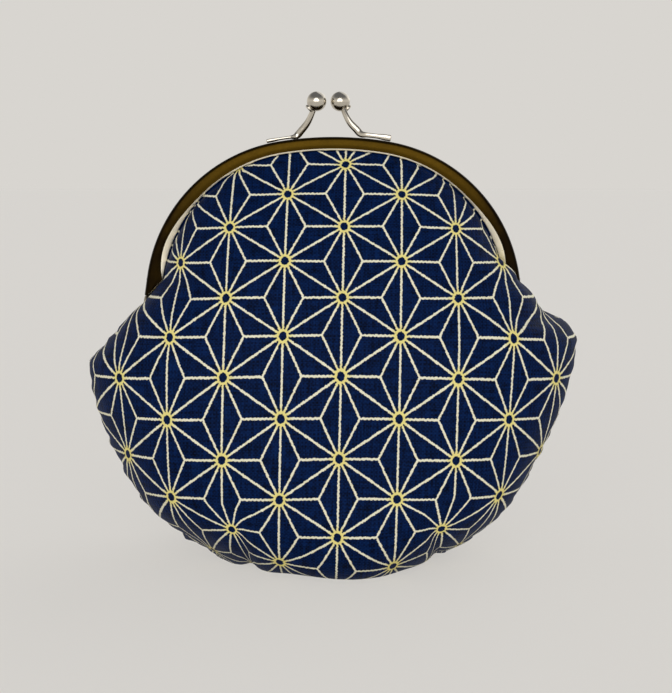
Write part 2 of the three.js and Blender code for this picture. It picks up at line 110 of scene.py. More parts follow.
class PurseMetal(bpy.types.PropertyGroup):
    """Sizes of the frame halves, their hinges and the clasp."""

    hinge_height: size("Hinge height", "Hinge axis over the floor", HINGE["pos_m"][2] / MM)
    frame_top: size("Frame top", "Top of the arch over the floor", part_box("front_frame")[1].z / MM)
    hinge_span: size("Hinge span", "Outer width over the two hinge ends", 100.6)
    crown_radius: size("Crown radius", "Flat curve over the top", 88)
    shoulder_radius: size("Shoulder radius", "Tighter curve at each shoulder", 42)
    leg_tilt: angle("Leg tilt", "How far the legs lean in towards the top", 8.5)
    channel_depth: size("Channel depth", "One half, front to back", 5.15)
    channel_wall: size("Channel wall", "Thickness of the sheet metal", 0.7)
    channel_round: size("Channel rounding", "Outer corners of the channel", 1.1)
    face_at_top: size("Face at the crown", "Outer edge to lip at the crown", 3.5)
    face_at_hinge: size("Face at the hinge", "Outer edge to lip at the hinge", 4.4)
    halves_gap: size("Gap of the halves", "Between the closed halves", 0.1)
    channel_end: size("Channel end", "The channel stops this far over the hinge axis", 2)
    string_end: size("String end", "The paper string stops this far over the hinge axis", 9)
    bevel_at_top: size("Bevel at the crown", "Bright bevel of the lip over the crown", 0.42)
    bevel_at_leg: size("Bevel at the legs", "Bright bevel of the lip on the legs", 1.65)
    bevel_low: size("Bevel low", "Height over the hinge axis where the bevel is widest", 16)
    bevel_high: size("Bevel high", "Height over the hinge axis where the bevel has narrowed", 32)
    bevel_slope: share("Bevel slope", "How far the bevel falls back for each metre of its width", 0.22)
    face_crown: size("Face crown", "How far the face of the channel swells out", 0.12)
    # Painted shade that darkens the lower legs over this reach, in place of the dark room their metal
    # reflects
    leg_painted_shade: share("Leg patina", "Added darkness of the lower legs", 0.95)
    leg_painted_shade_reach: size("Leg patina reach", "Height over which the legs turn dark", 36)
    lug_thickness: size("Lug thickness", "Flat lugs round the hinge axis", 0.9)
    lug_radius: size("Lug radius", "Round end of a lug", 2.6)
    lug_inset: size("Lug inset", "Outer lug in from the widest point of the frame", 0.8)
    lug_reach: size("Lug reach", "Depth of the lug where it joins its channel", 3.8)
    lug_neck: size("Lug neck", "Height over the axis where the lug clears the other half", 3.5)
    lug_overlap: size("Lug overlap", "Length of lug inside its channel", 4.5)
    clasp_offset: size("Clasp offset", "Middle of the clasp from the middle of the frame", -1.3)
    foot_end: size("Foot end", "Far end of a foot from the middle of the clasp", 16.5)
    foot_start: size("Foot start", "Near end of a foot from the middle of the clasp", 9)
    foot_height: size("Foot height", "Foot at its near end", 1.3)
    foot_heel: size("Foot heel", "Foot at its far end", 1.7)
    foot_width: size("Foot width", "Foot, front to back", 3)
    foot_gap: size("Foot gap", "Solder between the foot and the crown", 0.3)
    rear_foot: share("Rear foot", "Height of the rear foot as a share of the front one", 0.6)
    arm_radius: size("Arm radius", "Arm that carries a ball, front to back", 0.65)
    arm_width: size("Arm width", "That arm at its foot, seen from the front", 2)
    arm_tip: size("Arm tip", "That arm at its ball, seen from the front", 1.6)
    arm_bend: size("Arm bend", "Size of the bend where the foot turns up", 1.3)
    arm_shoulder: size("Arm turn", "Where the arm turns up, from the middle of the clasp", 5.2)
    arm_rise: size("Arm turn height", "Height of that turn over the arch", 4.6)
    arm_depth: size("Arm turn depth", "Depth of that turn out from the middle of the purse", 1.4)
    brass: colour("Antique brass", "Plating of the frame", "#4A370B")
    # Near-white lip: wear from rubbing, with a painted highlight
    brass_rubbed: colour("Rubbed brass", "Plating on the worn lip", "#FCF2DA")
    # Darkened plating, also used for painted shade towards the outer edge, on the lower legs and on the lugs
    brass_dark: colour("Brass patina", "Darkened plating on the outer edge", "#150E05")
    nickel: colour("Nickel", "Plating of the clasp", "#D9D3C7")
    nickel_smear: colour("Nickel smear", "That plating where it is smeared", "#B9B0A0")


class PurseCloth(bpy.types.PropertyGroup):
    """Sizes of the printed cloth, the lining and the paper string."""

    cloth: size("Cloth", "Thickness of the printed cloth", 0.6)
    lining: size("Lining", "Thickness of the lining", 0.4)
    layer_gap: size("Layer gap", "Between cloth, paper string and metal", 0.3)
    lining_gap: size("Lining gap", "Between cloth and lining", 0.7)
    paper_string: size("Paper string", "Diameter of the string in each channel", 1.1)
    tuck: size("Tuck", "Cloth pushed into the channel", 2.6)
    cloth_exit: size("Cloth exit", "The cloth leaves the channel this far over the hinge axis", 6.5)
    belly_height: size("Belly height", "Height of the deepest level", 18)
    belly_depth: size("Belly depth", "Half depth at that level", 36)
    belly_fullness: share("Belly fullness", "How quickly the cloth swells out below the frame", 3.0)
    base_half_width: size("Base half width", "Flat that the purse stands on", 26)
    base_half_depth: size("Base half depth", "Flat that the purse stands on", 25)
    ear_height: size("Ear height", "Corner where the flank meets the slope up to the hinge", 58)
    ear_half_width: size("Ear half width", "That corner before it is rounded", 65.4)
    ear_round: size("Ear rounding", "Rounding of the corner", 4)
    flank_top_power: share("Flank top power", "Curve of the flank towards the ear", 1.6)
    flank_base_power: share("Flank base power", "Curve of the flank towards the base", 0.63)
    ear_tilt: share("Ear tilt", "Rise of the ears for each metre across", 0.06)
    tilt_rise: size("Tilt rise", "Height over which the tilt comes in above the base", 44)
    tilt_fall: size("Tilt fall", "Height over which the tilt dies out below the hinge", 9.5)
    mouth_half_width: size("Mouth half width", "Cloth at the hinge", 50.3)
    mouth_half_depth: size("Mouth half depth", "Edge of the cloth in front of the hinge", 5.8)
    slit_depth: size("Slit depth", "The side seam starts this far below the hinge axis", 7)
    seam_gap: size("Seam gap", "Between the front and rear cloth along the seam", 0.002)
    section_power: share("Section power", "Level section over the base: fullness across", 3.4)
    ridge_power: share("Ridge power", "Level section over the base: roundness along the seam", 2.0)
    base_section_power: share("Base section power", "Fullness across at the base", 2.2)
    base_ridge_power: share("Base ridge power", "Roundness of the ridge at the base", 1.3)
    crumple_low: size("Crumple low", "The opening bends the middle of the cloth down to this height", 16)
    pucker_height: size("Pucker height", "Small ridges that the seam draws up", 0.95)
    pucker_pitch: size("Pucker pitch", "Mean distance between those ridges", 6.3)
    pucker_reach: size("Pucker reach", "Where the ridges are highest, in from the seam", 3.2)
    slack_height: size("Slack height", "Soft hollows and swellings of the slack cloth", 0.45)
    seam_dip: size("Seam dip", "How far the stitches draw the seam in", 0.3)
    seam_dip_reach: size("Seam dip reach", "Half width of the hollow along the seam", 1.4)
    left_slack: size("Left slack", "How much fuller the low left flank hangs", 1.3)
    left_slack_reach: size("Left slack reach", "How far from the seam that dies out", 16)
    spill: size("Spill", "How far the cloth spills sideways over the right leg", 4.2)
    spill_low: size("Spill low", "Height over the hinge axis where the spill starts", -6.5)
    spill_full: size("Spill full", "Height over the hinge axis where it is full", 2.5)
    spill_fall: size("Spill fall", "Height over the hinge axis where it starts to die out", 7)
    spill_high: size("Spill high", "Height over the hinge axis where it has died out", 14)
    spill_reach: size("Spill reach", "How far in from its edge the cloth gives way", 13)
    draw: size("Draw", "How far the slope over the right ear is drawn in below the spill", 0.7)
    draw_height: size("Draw height", "Height under the hinge axis where it is drawn in most", 7)
    draw_reach: size("Draw reach", "Height over which that dies out", 6)
    spill_clear: size("Spill clearance", "Between the spilled cloth and the leg", 0.2)
    gather_height: size("Gather height", "Small folds where the cloth leaves the channel", 0.22)
    gather_pitch: size("Gather pitch", "Mean distance between those folds", 9)
    gather_reach: size("Gather reach", "How far down those folds die out", 7)
    dart_left: size("Left dart", "Foot of the left dart from the middle", -21.5)
    dart_right: size("Right dart", "Foot of the right dart from the middle", 28)
    dart_top: size("Dart top", "Height at which a dart runs out", 22)
    dart_left_lean: size("Left dart lean", "Top of the left dart from its foot", -3)
    dart_right_lean: size("Right dart lean", "Top of the right dart from its foot", -5)
    dart_depth: size("Dart depth", "Groove along a dart at its foot", 1.1)
    dart_width: size("Dart width", "Half width of that groove", 1.7)
    dart_take: size("Dart take", "Cloth that a dart takes up at its foot", 7.5)
    dart_pull: size("Dart pull", "How far a dart draws the cloth beside it up", 6)
    dart_pull_reach: size("Dart pull reach", "How far from the dart that pull is felt", 9)


class PursePrint(bpy.types.PropertyGroup):
    """The hemp-leaf print and the colours of cloths and paper."""

    column: size("Column pitch", "Between neighbouring columns of stars", 14.65)
    row: size("Row pitch", "Between the stars of one column", 20.0)
    star_across: size("Star across", "A star's place from the middle of the cloth", 1.9)
    star_up: size("Star up", "The same star's place up the cloth from the edge of the base", 58.0)
    warp_lean: share("Warp lean", "How far the columns lean for each metre along them", 0.0215)
    weft_sag: size("Weft sag", "How far the rows sag towards the ears", 3)
    rear_shift: size("Rear shift", "The rear print from the front one, across and up", 6)
    line: size("Line width", "Width of a printed line", 0.6)
    dot: size("Dot radius", "Bare dot in the middle of a star", 1.15)
    ring: size("Ring radius", "Printed ring round that dot", 1.85)
    rag: size("Rag", "Grain of the ink's ragged edges", 0.8)
    ease: share("Ease", "Share of the depth that the print follows at a panel's edge", 0.6)
    ease_start: share("Ease start", "Share of the half width at which that starts", 0.7)
    row_drift: size("Row drift", "How far the rows ride up on the full of the belly", 0.9)
    drift_height: size("Drift height", "Height at which they ride up most", 62)
    drift_reach: size("Drift reach", "Height over which that dies out", 17)
    thread: size("Thread", "Width of a thread, drawn coarser than the real 0.3 mm so that it shows", 0.5)
    navy: colour("Navy cotton", "Ground of the print", "#072558")
    navy_shade: colour("Navy shade", "The ground between its threads", "#02081A")
    bloom: colour("Bloom", "Soft sheen of the cloth", "#8FA8D8")
    gold: colour("Gold ink", "Lines of the print", "#FAF6DC")
    gold_worn: colour("Worn gold ink", "Lines where the ink is thin", "#D6C689")
    gold_star: colour("Gold of the stars", "Thick ink round the bare dots", "#F8EB96")
    lining_navy: colour("Lining", "Plain cotton inside", "#16245C")
    lining_shade: colour("Lining shade", "The lining between its threads", "#0A1132")
    kraft: colour("Kraft paper", "Paper string in the channels", "#B89F76")
    kraft_shade: colour("Kraft shade", "Flecks between its fibres", "#8A7350")


class PurseStage(bpy.types.PropertyGroup):
    """Camera, floor, room and lamps."""

    distance: size("Camera distance", "Camera in front of the middle of the purse", 420)
    height: size("Camera height", "Camera over the floor", 109)
    across: size("Camera across", "Camera from the middle of the purse", 0.7)
    pitch: angle("Camera pitch", "How far the camera looks down", 7.1)
    focal: IntProperty(name="Focal length", description="Focal length in pixels of the picture", default=1575)
    floor_size: size("Floor size", "Half of the floor's side", 4000)
    floor: colour("Floor", "Plain pale floor", "#E4E0D9")
    floor_lift: share("Floor lift", "Share of the floor that the camera sees at its full paleness", 0.62)
    room: colour("Room", "Pale walls of the room round the purse", "#ECE9E4")
    backdrop: colour("Backdrop", "Those walls as the camera sees them, as pale as the lit floor", "#D8D5D0")
    ceiling: colour("Ceiling", "Darker ceiling of the room", "#77797E")
    key: share("Key lamp", "Strength of the soft lamp low in front", 1.6)
    fill: share("Fill lamp", "Strength of the soft lamp behind", 0.5)


def lerp(start, end, amount):
    """Value part of the way from start to end."""
    return start + (end - start) * amount


def smooth_step(low, high, value):
    """Rises from 0 at low to 1 at high with level ends."""
    part = np.clip((value - low) / (high - low), 0, 1)
    return part * part * (3 - 2 * part)


def bell(distance, reach):
    """Falls smoothly from 1 at no distance towards 0 beyond its reach."""
    return np.exp(-((distance / reach) ** 2))


def fold_rise(place):
    """Rises quickly from 0 to 1 at place 1 and then dies out slowly."""
    return place * np.exp(1 - place)


def unit(vectors):
    """Vectors of length one in the same directions."""
    return vectors / np.maximum(np.linalg.norm(vectors, axis=-1, keepdims=True), TINY)


def full_turn(count):
    """Evenly spaced angles once around."""
    return np.linspace(0, 2 * math.pi, count, endpoint=False)


def circle(angles, radius):
    """Points of a circle about the origin."""
    return np.stack([np.cos(angles), np.sin(angles)], axis=1) * radius


def running_length(points):
    """Length along rows of points, from the first one."""
    steps = np.linalg.norm(np.diff(points, axis=0), axis=-1)
    return np.concatenate([np.zeros((1,) + steps.shape[1:]), np.cumsum(steps, axis=0)])


def evenly(points, count):
    """The same path with evenly spaced points."""
    length = running_length(points)
    places = np.linspace(0, length[-1], count)
    return np.stack([np.interp(places, length, points[:, axis]) for axis in range(points.shape[1])], axis=1)


def spline(points, count):
    """Smooth curve through a few points: each stretch is a cubic that leaves a point along the line
    between its two neighbours."""
    points = np.array(points)
    padded = np.concatenate([[2 * points[0] - points[1]], points, [2 * points[-1] - points[-2]]])
    place = np.linspace(0, len(points) - 1, count)
    stretch = np.minimum(place.astype(int), len(points) - 2)
    t = (place - stretch)[:, None]
    a, b, c, d = (padded[stretch + step] for step in range(4))
    return 0.5 * (2 * b + (c - a) * t + (2 * a - 5 * b + 4 * c - d) * t**2 + (3 * b - a - 3 * c + d) * t**3)


class Arch:
    """Arch of a flat crown arc, two shoulder arcs and two leaning legs, all tangent to each other,
    set in from the outer edge of the frame by one distance at the crown and another at the hinge."""

    def __init__(self, metal, at_top, at_hinge):
        self.lean = metal.leg_tilt
        self.hinge = metal.hinge_height
        self.half_span = metal.hinge_span / 2 - at_hinge
        self.top = metal.frame_top - at_top
        self.crown = metal.crown_radius - at_top
        self.shoulder = metal.shoulder_radius - (at_top + at_hinge) / 2
        self.crown_z = self.top - self.crown
        tan = math.tan(self.lean)
        inset = self.half_span - self.shoulder / math.cos(self.lean) - (self.crown_z - self.hinge) * tan
        scale = 1 + tan * tan
        root = math.sqrt(scale * (self.crown - self.shoulder) ** 2 - inset * inset)
        rise = (inset * tan + root) / scale
        self.shoulder_x = inset - tan * rise
        self.shoulder_z = self.crown_z + rise
        self.turn = math.atan2(rise, self.shoulder_x)

    def leg(self, z):
        """Half of the width between the legs at a height."""
        return self.half_span - (z - self.hinge) * math.tan(self.lean)

    def half_width(self, z):
        """Half of the arch's width at a height: by the crown arc, the shoulder arc or the leg."""
        crown = np.sqrt(np.clip(self.crown**2 - (z - self.crown_z) ** 2, 0, None))
        shoulder = self.shoulder_x + np.sqrt(np.clip(self.shoulder**2 - (z - self.shoulder_z) ** 2, 0, None))
        on_shoulder = z > self.shoulder_z + self.shoulder * math.sin(self.lean)
        on_crown = z > self.crown_z + self.crown * math.sin(self.turn)
        return np.where(on_crown, crown, np.where(on_shoulder, shoulder, self.leg(z)))

    def path(self, end_z, count):
        """Evenly spaced points (x, z) from the right end over the top to the left end.

        An end above the legs lies on the shoulder arc, which starts there.
        """
        lift = np.clip((end_z - self.shoulder_z) / self.shoulder, -1, 1)
        bend = np.linspace(max(self.lean, math.asin(lift)), self.turn, count)
        over = np.linspace(self.turn, math.pi - self.turn, count)
        shoulder = circle(bend, self.shoulder) + (self.shoulder_x, self.shoulder_z)
        crown = circle(over, self.crown) + (0, self.crown_z)
        right = np.concatenate([[(self.half_width(end_z), end_z)], shoulder])
        left = right[::-1] * (-1, 1)
        return evenly(np.concatenate([right, crown[1:-1], left]), count)


class PurseForm:
    """The purse's shape as formulas of place across, height and how far a face lies in from the
    outer surface of the cloth."""

    def __init__(self, scene):
        self.metal = scene.purse_metal
        self.cloth = scene.purse_cloth
        self.hinge = self.metal.hinge_height
        self.near_face = self.metal.halves_gap / 2
        self.far_face = self.near_face + self.metal.channel_depth
        self.slot_face = self.far_face - self.metal.channel_wall - self.cloth.layer_gap
        self.seam = self.cloth.seam_gap / 2
        self.exit_height = self.hinge + self.cloth.cloth_exit
        self.slit = self.hinge - self.cloth.slit_depth
        self.lining_start = self.cloth.cloth + self.cloth.lining_gap
        self.lining_end = self.lining_start + self.cloth.lining
        self.outer_arch = Arch(self.metal, 0, 0)
        self.lip_arch = Arch(self.metal, self.metal.face_at_top, self.metal.face_at_hinge)
        self.cloth_top = self.exit_arch(0).top

    def exit_arch(self, inward):
        """Line where a face of the cloth comes out of the channel."""
        step = self.cloth.layer_gap + inward
        return Arch(self.metal, self.metal.face_at_top + step, self.metal.face_at_hinge + step)

    def belly(self, z):
        """Half depth at the middle: a power curve from the channel, then a quarter ellipse to the base."""
        cloth = self.cloth
        down = np.clip((self.cloth_top - z) / (self.cloth_top - cloth.belly_height), 0, 1)
        swell = lerp(self.slot_face, cloth.belly_depth, 1 - (1 - down) ** cloth.belly_fullness)
        up = np.clip(z / cloth.belly_height, 0, 1)
        under = lerp(cloth.base_half_depth, cloth.belly_depth, np.sqrt(1 - (1 - up) ** 2))
        return np.where(z > cloth.belly_height, swell, under)

    def flank(self, z):
        """Half width below the hinge: the flank and the slope under the hinge, with a rounded corner."""
        cloth = self.cloth
        up = np.clip(z / cloth.ear_height, 0, 1)
        curve = (1 - (1 - up) ** cloth.flank_top_power) ** cloth.flank_base_power
        flank = lerp(cloth.base_half_width, cloth.ear_half_width, curve)
        down = (self.hinge - z) / (self.hinge - cloth.ear_height)
        slope = lerp(cloth.mouth_half_width, cloth.ear_half_width, down)
        mix = np.clip(0.5 + (slope - flank) / (2 * cloth.ear_round), 0, 1)
        return lerp(slope, flank, mix) - cloth.ear_round * mix * (1 - mix)

    def half_width(self, z, inward=0.0):
        """Half width of a face at a height, in the arch, in front of the hinge or on the flank."""
        arch = self.exit_arch(inward)
        at_exit = arch.half_width(np.array(self.exit_height))
        flare = np.clip((self.exit_height - z) / self.cloth.cloth_exit, 0, 1)
        mouth = lerp(at_exit, self.cloth.mouth_half_width - inward, flare)
        below = np.where(z > self.hinge, mouth, self.flank(z) - inward)
        return np.where(z > self.exit_height, arch.half_width(z), below)

    def edge(self, z, inward):
        """Depth of the cloth's edge: in the channel, in front of the hinge, at the seam."""
        in_channel = smooth_step(0, self.cloth.cloth_exit, z - self.hinge)
        in_slit = smooth_step(0, self.cloth.slit_depth, self.hinge - z)
        mouth = self.cloth.mouth_half_depth
        above = lerp(mouth, self.slot_face, in_channel)
        below = lerp(mouth, self.seam, in_slit)
        return np.maximum(self.seam, np.where(z >= self.hinge, above, below) - inward)

    def depth(self, x, z, inward, under_base=1.0):
        """Depth of a face: from its edge out to the belly by a full section, rounder at the base."""
        cloth = self.cloth
        across = np.clip(np.abs(x) / np.maximum(self.half_width(z, inward), MM), 0, 1)
        over_base = smooth_step(0, cloth.belly_height, z)
        section_power = lerp(cloth.base_section_power, cloth.section_power, over_base)
        ridge_power = lerp(cloth.base_ridge_power, cloth.ridge_power, over_base)
        swell = (1 - across**section_power) ** (1 / ridge_power)
        edge = self.edge(z, inward)
        return edge + (self.belly(z) - inward - edge) * swell * under_base

    def tilt(self, x, z):
        """How far a point lies over its level because the ears do not lie level."""
        cloth = self.cloth
        rise = smooth_step(0, cloth.tilt_rise, z) * smooth_step(0, cloth.tilt_fall, self.hinge - z)
        return cloth.ear_tilt * rise * x


def grid_quads(rows, columns, wrap=False):
    """Faces between the points of a grid, row by row."""
    index = np.arange(rows * columns).reshape(rows, columns)
    if wrap:
        index = np.concatenate([index, index[:, :1]], axis=1)
    corners = [index[:-1, :-1], index[:-1, 1:], index[1:, 1:], index[1:, :-1]]
    return np.stack(corners, axis=-1).reshape(-1, 4)


def closed_shell(points, quads, caps=(), **marks):
    """A closed surface whose faces are turned outwards, with numbers or places marked on its points."""
    a, b, c, d = (points[quads[:, corner]] for corner in range(4))
    volume = np.sum(a * np.cross(b, c)) + np.sum(a * np.cross(c, d))
    order = -1 if volume < 0 else 1
    return {
        "points": points,
        "quads": quads[:, ::order],
        "caps": [cap[::order] for cap in caps],
        "marks": marks,
    }


def swept(rings, **marks):
    """A tube through rings of points, closed by a flat cap at each end."""
    rows, columns = rings.shape[:2]
    first = np.arange(columns)[::-1]
    last = np.arange(columns) + (rows - 1) * columns
    middle = rings.reshape(-1, 3).mean(axis=0)
    quads = grid_quads(rows, columns, wrap=True)
    shell = closed_shell(rings.reshape(-1, 3) - middle, quads, (first, last), **marks)
    shell["points"] = shell["points"] + middle
    return shell


def sheet_shell(outer, inner, **marks):
    """A sheet of cloth between two faces, closed along all four edges."""
    rows, columns = outer.shape[:2]
    ring = np.concatenate([outer, inner[:, ::-1]], axis=1)
    quads = grid_quads(rows, 2 * columns, wrap=True)
    near = np.arange(columns)
    far = 2 * columns - 1 - near
    top = np.stack([near[1:], near[:-1], far[:-1], far[1:]], axis=1)
    bottom = top[:, ::-1] + (rows - 1) * 2 * columns
    doubled = {name: np.concatenate([mark, mark[:, ::-1]], axis=1) for name, mark in marks.items()}
    return closed_shell(ring.reshape(-1, 3), np.concatenate([quads, top, bottom]), **doubled)


def add_to_scene(name, data):
    """A new object in the scene."""
    holder = bpy.data.objects.new(name, data)
    bpy.context.scene.collection.objects.link(holder)
    return holder


def make_piece(name, shells, material, sharp=None):
    """One object from closed shells. A mark with two numbers a point becomes a UV map, and a mark with
    one number becomes an attribute."""
    faces, start = [], 0
    for shell in shells:
        faces += (shell["quads"] + start).tolist() + [(cap + start).tolist() for cap in shell["caps"]]
        start += len(shell["points"])
    mesh = bpy.data.meshes.new(name)
    mesh.from_pydata(np.concatenate([shell["points"] for shell in shells]).tolist(), [], faces)
    corner_points = np.zeros(len(mesh.loops), np.int32)
    mesh.loops.foreach_get("vertex_index", corner_points)
    for mark in shells[0]["marks"]:
        values = np.concatenate([shell["marks"][mark].reshape(len(shell["points"]), -1) for shell in shells])
        if values.shape[1] == 2:
            layer = mesh.uv_layers.new(name=mark)
            layer.data.foreach_set("uv", values[corner_points].astype(np.float32).ravel())
        else:
            layer = mesh.attributes.new(mark, "FLOAT", "POINT")
            layer.data.foreach_set("value", values.astype(np.float32).ravel())
    mesh.polygons.foreach_set("use_smooth", np.ones(len(mesh.polygons), bool))
    if sharp is not None:
        mesh.set_sharp_from_angle(angle=sharp)
    mesh.materials.append(material)
    return add_to_scene(name, mesh)


# Height and pace of two waves, and how far, how slowly and from where the pace of each drifts
UNEVEN_WAVES = ((0.6, 1, 1.7, 4.7, 0.6), (0.4, 1.62, 1.1, 3.1, 2.0))


def uneven_waves(place, pitch):
    """Waves of uneven length along a line, between -1 and 1: two waves whose pace drifts."""
    turn = 2 * math.pi / pitch * place
    return sum(
        height * np.sin(turn * pace + drift * np.sin(turn / slowness + start))
        for height, pace, drift, slowness, start in UNEVEN_WAVES
    )


def slack_waves(x, z):
    """Soft hollows of slack cloth: a leaning checker of two waves, broken up by a slanting third one."""
    across, up, lean = 9 * MM, 8 * MM, 31 * MM
    slant_across, slant_up, slant_height = 5.3 * MM, 11 * MM, 0.6
    start_across, start_up = 0.7, 1.1
    checker = np.sin(x / across + start_across) * np.sin(z / up + start_up + x / lean)
    return checker + slant_height * np.sin(x / slant_across - z / slant_up)


class ClothPanel:
    """One panel as a grid of rows from the channel down to the seam under the base, and columns from
    the right edge to the left edge."""

    TUCK_ROWS = 4
    UPPER_ROWS = 56
    LOWER_ROWS = 104
    BASE_ROWS = 22
    COLUMNS = 190
    SPILLS = 1
    TURN_LEAD = 0
    PROFILE_STEPS = 400
    SECTION_STEPS = 60
    LEFT_START = 37 * MM  # the left seam starts this far along the puckers' waves
    HIGH_PUCKER = 0.35  # strength of the puckers at the ears
    PUCKER_FADE = (0.8, 0.2)  # shares of the ears' height where they start to grow and are full
    SLACK_CALM = 14 * MM  # how far from the seam the slack hollows are full
    SLACK_FULL = 2 / 3  # share of the belly's height where the left slack is full
    DART_SWELL = 0.35  # height of the swelling on both sides of a dart, against its depth
    SWELL_PLACE, SWELL_REACH = 3, 2  # place and reach of that swelling, in dart widths
    FORWARD = (0.2 * MM, 1.2 * MM)  # the spilled cloth comes forward over this length
    SIDEWAYS = (1 * MM, 3.5 * MM)  # and goes sideways over this one
    FORWARD_LEAD = 0.3  # share of the spill at which it is fully forward
    HINGE_CLEAR = 1 * MM  # the edge follows its half from this far over the hinge axis

    def __init__(self, form, facing):
        self.form = form
        self.facing = facing
        self.levels, self.under_base = self.lower_levels()

    def lower_levels(self):
        """Levels below the hinge, evenly spaced along the middle of the cloth, then the flat base."""
        heights = np.concatenate([
            np.linspace(self.form.hinge, self.form.cloth.belly_height, self.PROFILE_STEPS),
            self.form.cloth.belly_height * (1 - np.sin(np.linspace(0, math.pi / 2, self.PROFILE_STEPS)[1:])),
        ])
        profile = evenly(np.stack([self.form.belly(heights), heights], axis=1), self.LOWER_ROWS + 1)[1:]
        under_base = np.linspace(1, 0, self.BASE_ROWS + 1)[1:]
        levels = np.concatenate([profile[:, 1], np.zeros(self.BASE_ROWS)])
        return levels, np.concatenate([np.ones(self.LOWER_ROWS), under_base])

    def face(self, inward):
        """Place across, level, share of the base and depth for each point of a face. Above the hinge a
        column hangs straight down from the arch, and below it keeps its share of the half width."""
        form = self.form
        arch = form.exit_arch(inward)
        top = arch.path(form.exit_height, self.COLUMNS)
        exit_half = arch.half_width(np.array(form.exit_height))
        part = np.linspace(0, 1, self.UPPER_ROWS + 1)[:, None]
        upper_z = lerp(top[None, :, 1], form.hinge, part)
        widening = form.half_width(upper_z, inward) / exit_half
        upper_x = top[None, :, 0] * np.where(upper_z > form.exit_height, 1, widening)
        lower_z = np.repeat(self.levels[:, None], self.COLUMNS, axis=1)
        lower_x = form.half_width(lower_z, inward) * top[None, :, 0] / exit_half
        x = np.concatenate([upper_x, lower_x])
        z = np.concatenate([upper_z, lower_z])
        lower_base = np.repeat(self.under_base[:, None], self.COLUMNS, axis=1)
        base = np.concatenate([np.ones(upper_z.shape), lower_base])
        return x, z, base, form.depth(x, z, inward, base)

    def tuck_steps(self, inward):
        """Steps across and up from the line where the cloth leaves the channel to the rows inside it."""
        form = self.form
        inside = form.exit_arch(inward).path(form.exit_height, self.COLUMNS)
        outward = unit(form.outer_arch.path(form.exit_height, self.COLUMNS) - inside)
        push = np.linspace(1, 0, self.TUCK_ROWS + 1)[:-1, None, None] * (form.cloth.tuck + inward)
        return outward[None] * push

    def channel_rows(self, inward):
        """Rows pushed up into the channel, straight out from the line where the cloth leaves it."""
        form = self.form
        rows = form.exit_arch(inward).path(form.exit_height, self.COLUMNS)[None] + self.tuck_steps(inward)
        depth = np.full(rows.shape[:2], self.facing * (form.slot_face - inward))
        return np.stack([rows[..., 0], depth, rows[..., 1]], axis=-1)

    def points(self, inward):
        """Points of a smooth face, with its rows in the channel."""
        x, z, _, depth = self.face(inward)
        height = np.maximum(z, inward) + self.form.tilt(x, z)
        open_rows = np.stack([x, self.facing * depth, height], axis=-1)
        return np.concatenate([self.channel_rows(inward), open_rows])

    def seam_places(self, points):
        """Length along each side seam and distance in from it, for each point."""
        half = self.COLUMNS // 2
        along_right = running_length(points[:, 0])
        along_left = running_length(points[:, -1])
        across = running_length(points.transpose(1, 0, 2)).T
        on_right = np.arange(self.COLUMNS)[None, :] < half
        along = np.where(on_right, along_right[:, None], along_left[:, None] + self.LEFT_START)
        return along, np.where(on_right, across, across[:, -1:] - across)

    def dart_places(self, x, z):
        """How far each point lies outside the dart on its side, and how deep that dart is at its level."""
        cloth = self.form.cloth
        fade = np.clip(1 - z / cloth.dart_top, 0, 1)
        foot = np.where(x < 0, cloth.dart_left, cloth.dart_right)
        line = foot + np.where(x < 0, cloth.dart_left_lean, cloth.dart_right_lean) * (1 - fade)
        return (x - line) * np.sign(foot), fade

    def relief(self, points, x, z):
        """Height of folds over the smooth face: gathers under the frame, the drawn-in seam with its
        puckers, slack hollows, the dart grooves and the fuller left flank. Gathers and puckers are uneven
        waves along an edge that rise quickly from it and die out slowly."""
        form, cloth = self.form, self.form.cloth
        along, from_seam = (places[self.TUCK_ROWS :] for places in self.seam_places(points))
        sewn = smooth_step(form.hinge, form.slit, z)
        strength = lerp(self.HIGH_PUCKER, 1, smooth_step(*self.PUCKER_FADE, z / cloth.ear_height))
        pucker = uneven_waves(along, cloth.pucker_pitch) * fold_rise(from_seam / cloth.pucker_reach)
        drawn_in = bell(from_seam, cloth.seam_dip_reach)

        open_rows = points[self.TUCK_ROWS :]
        along_arch = running_length(open_rows[0])[None]
        below = running_length(open_rows) * 2 / cloth.gather_reach
        gather = uneven_waves(along_arch, cloth.gather_pitch) * fold_rise(below)

        calm = smooth_step(0, self.SLACK_CALM, from_seam) * smooth_step(form.cloth_top, form.hinge, z)
        low_left = (x < 0) * smooth_step(cloth.ear_height, self.SLACK_FULL * cloth.belly_height, z)

        outside, fade = self.dart_places(x, z)
        width = cloth.dart_width
        swelling = bell(np.abs(outside) - self.SWELL_PLACE * width, self.SWELL_REACH * width)
        return (
            sewn * (cloth.pucker_height * strength * pucker - cloth.seam_dip * drawn_in)
            + cloth.gather_height * gather
            + cloth.slack_height * slack_waves(x, z) * calm
            + cloth.dart_depth * fade * (self.DART_SWELL * swelling - bell(outside, width))
            + cloth.left_slack * low_left * bell(from_seam, cloth.left_slack_reach)
        )

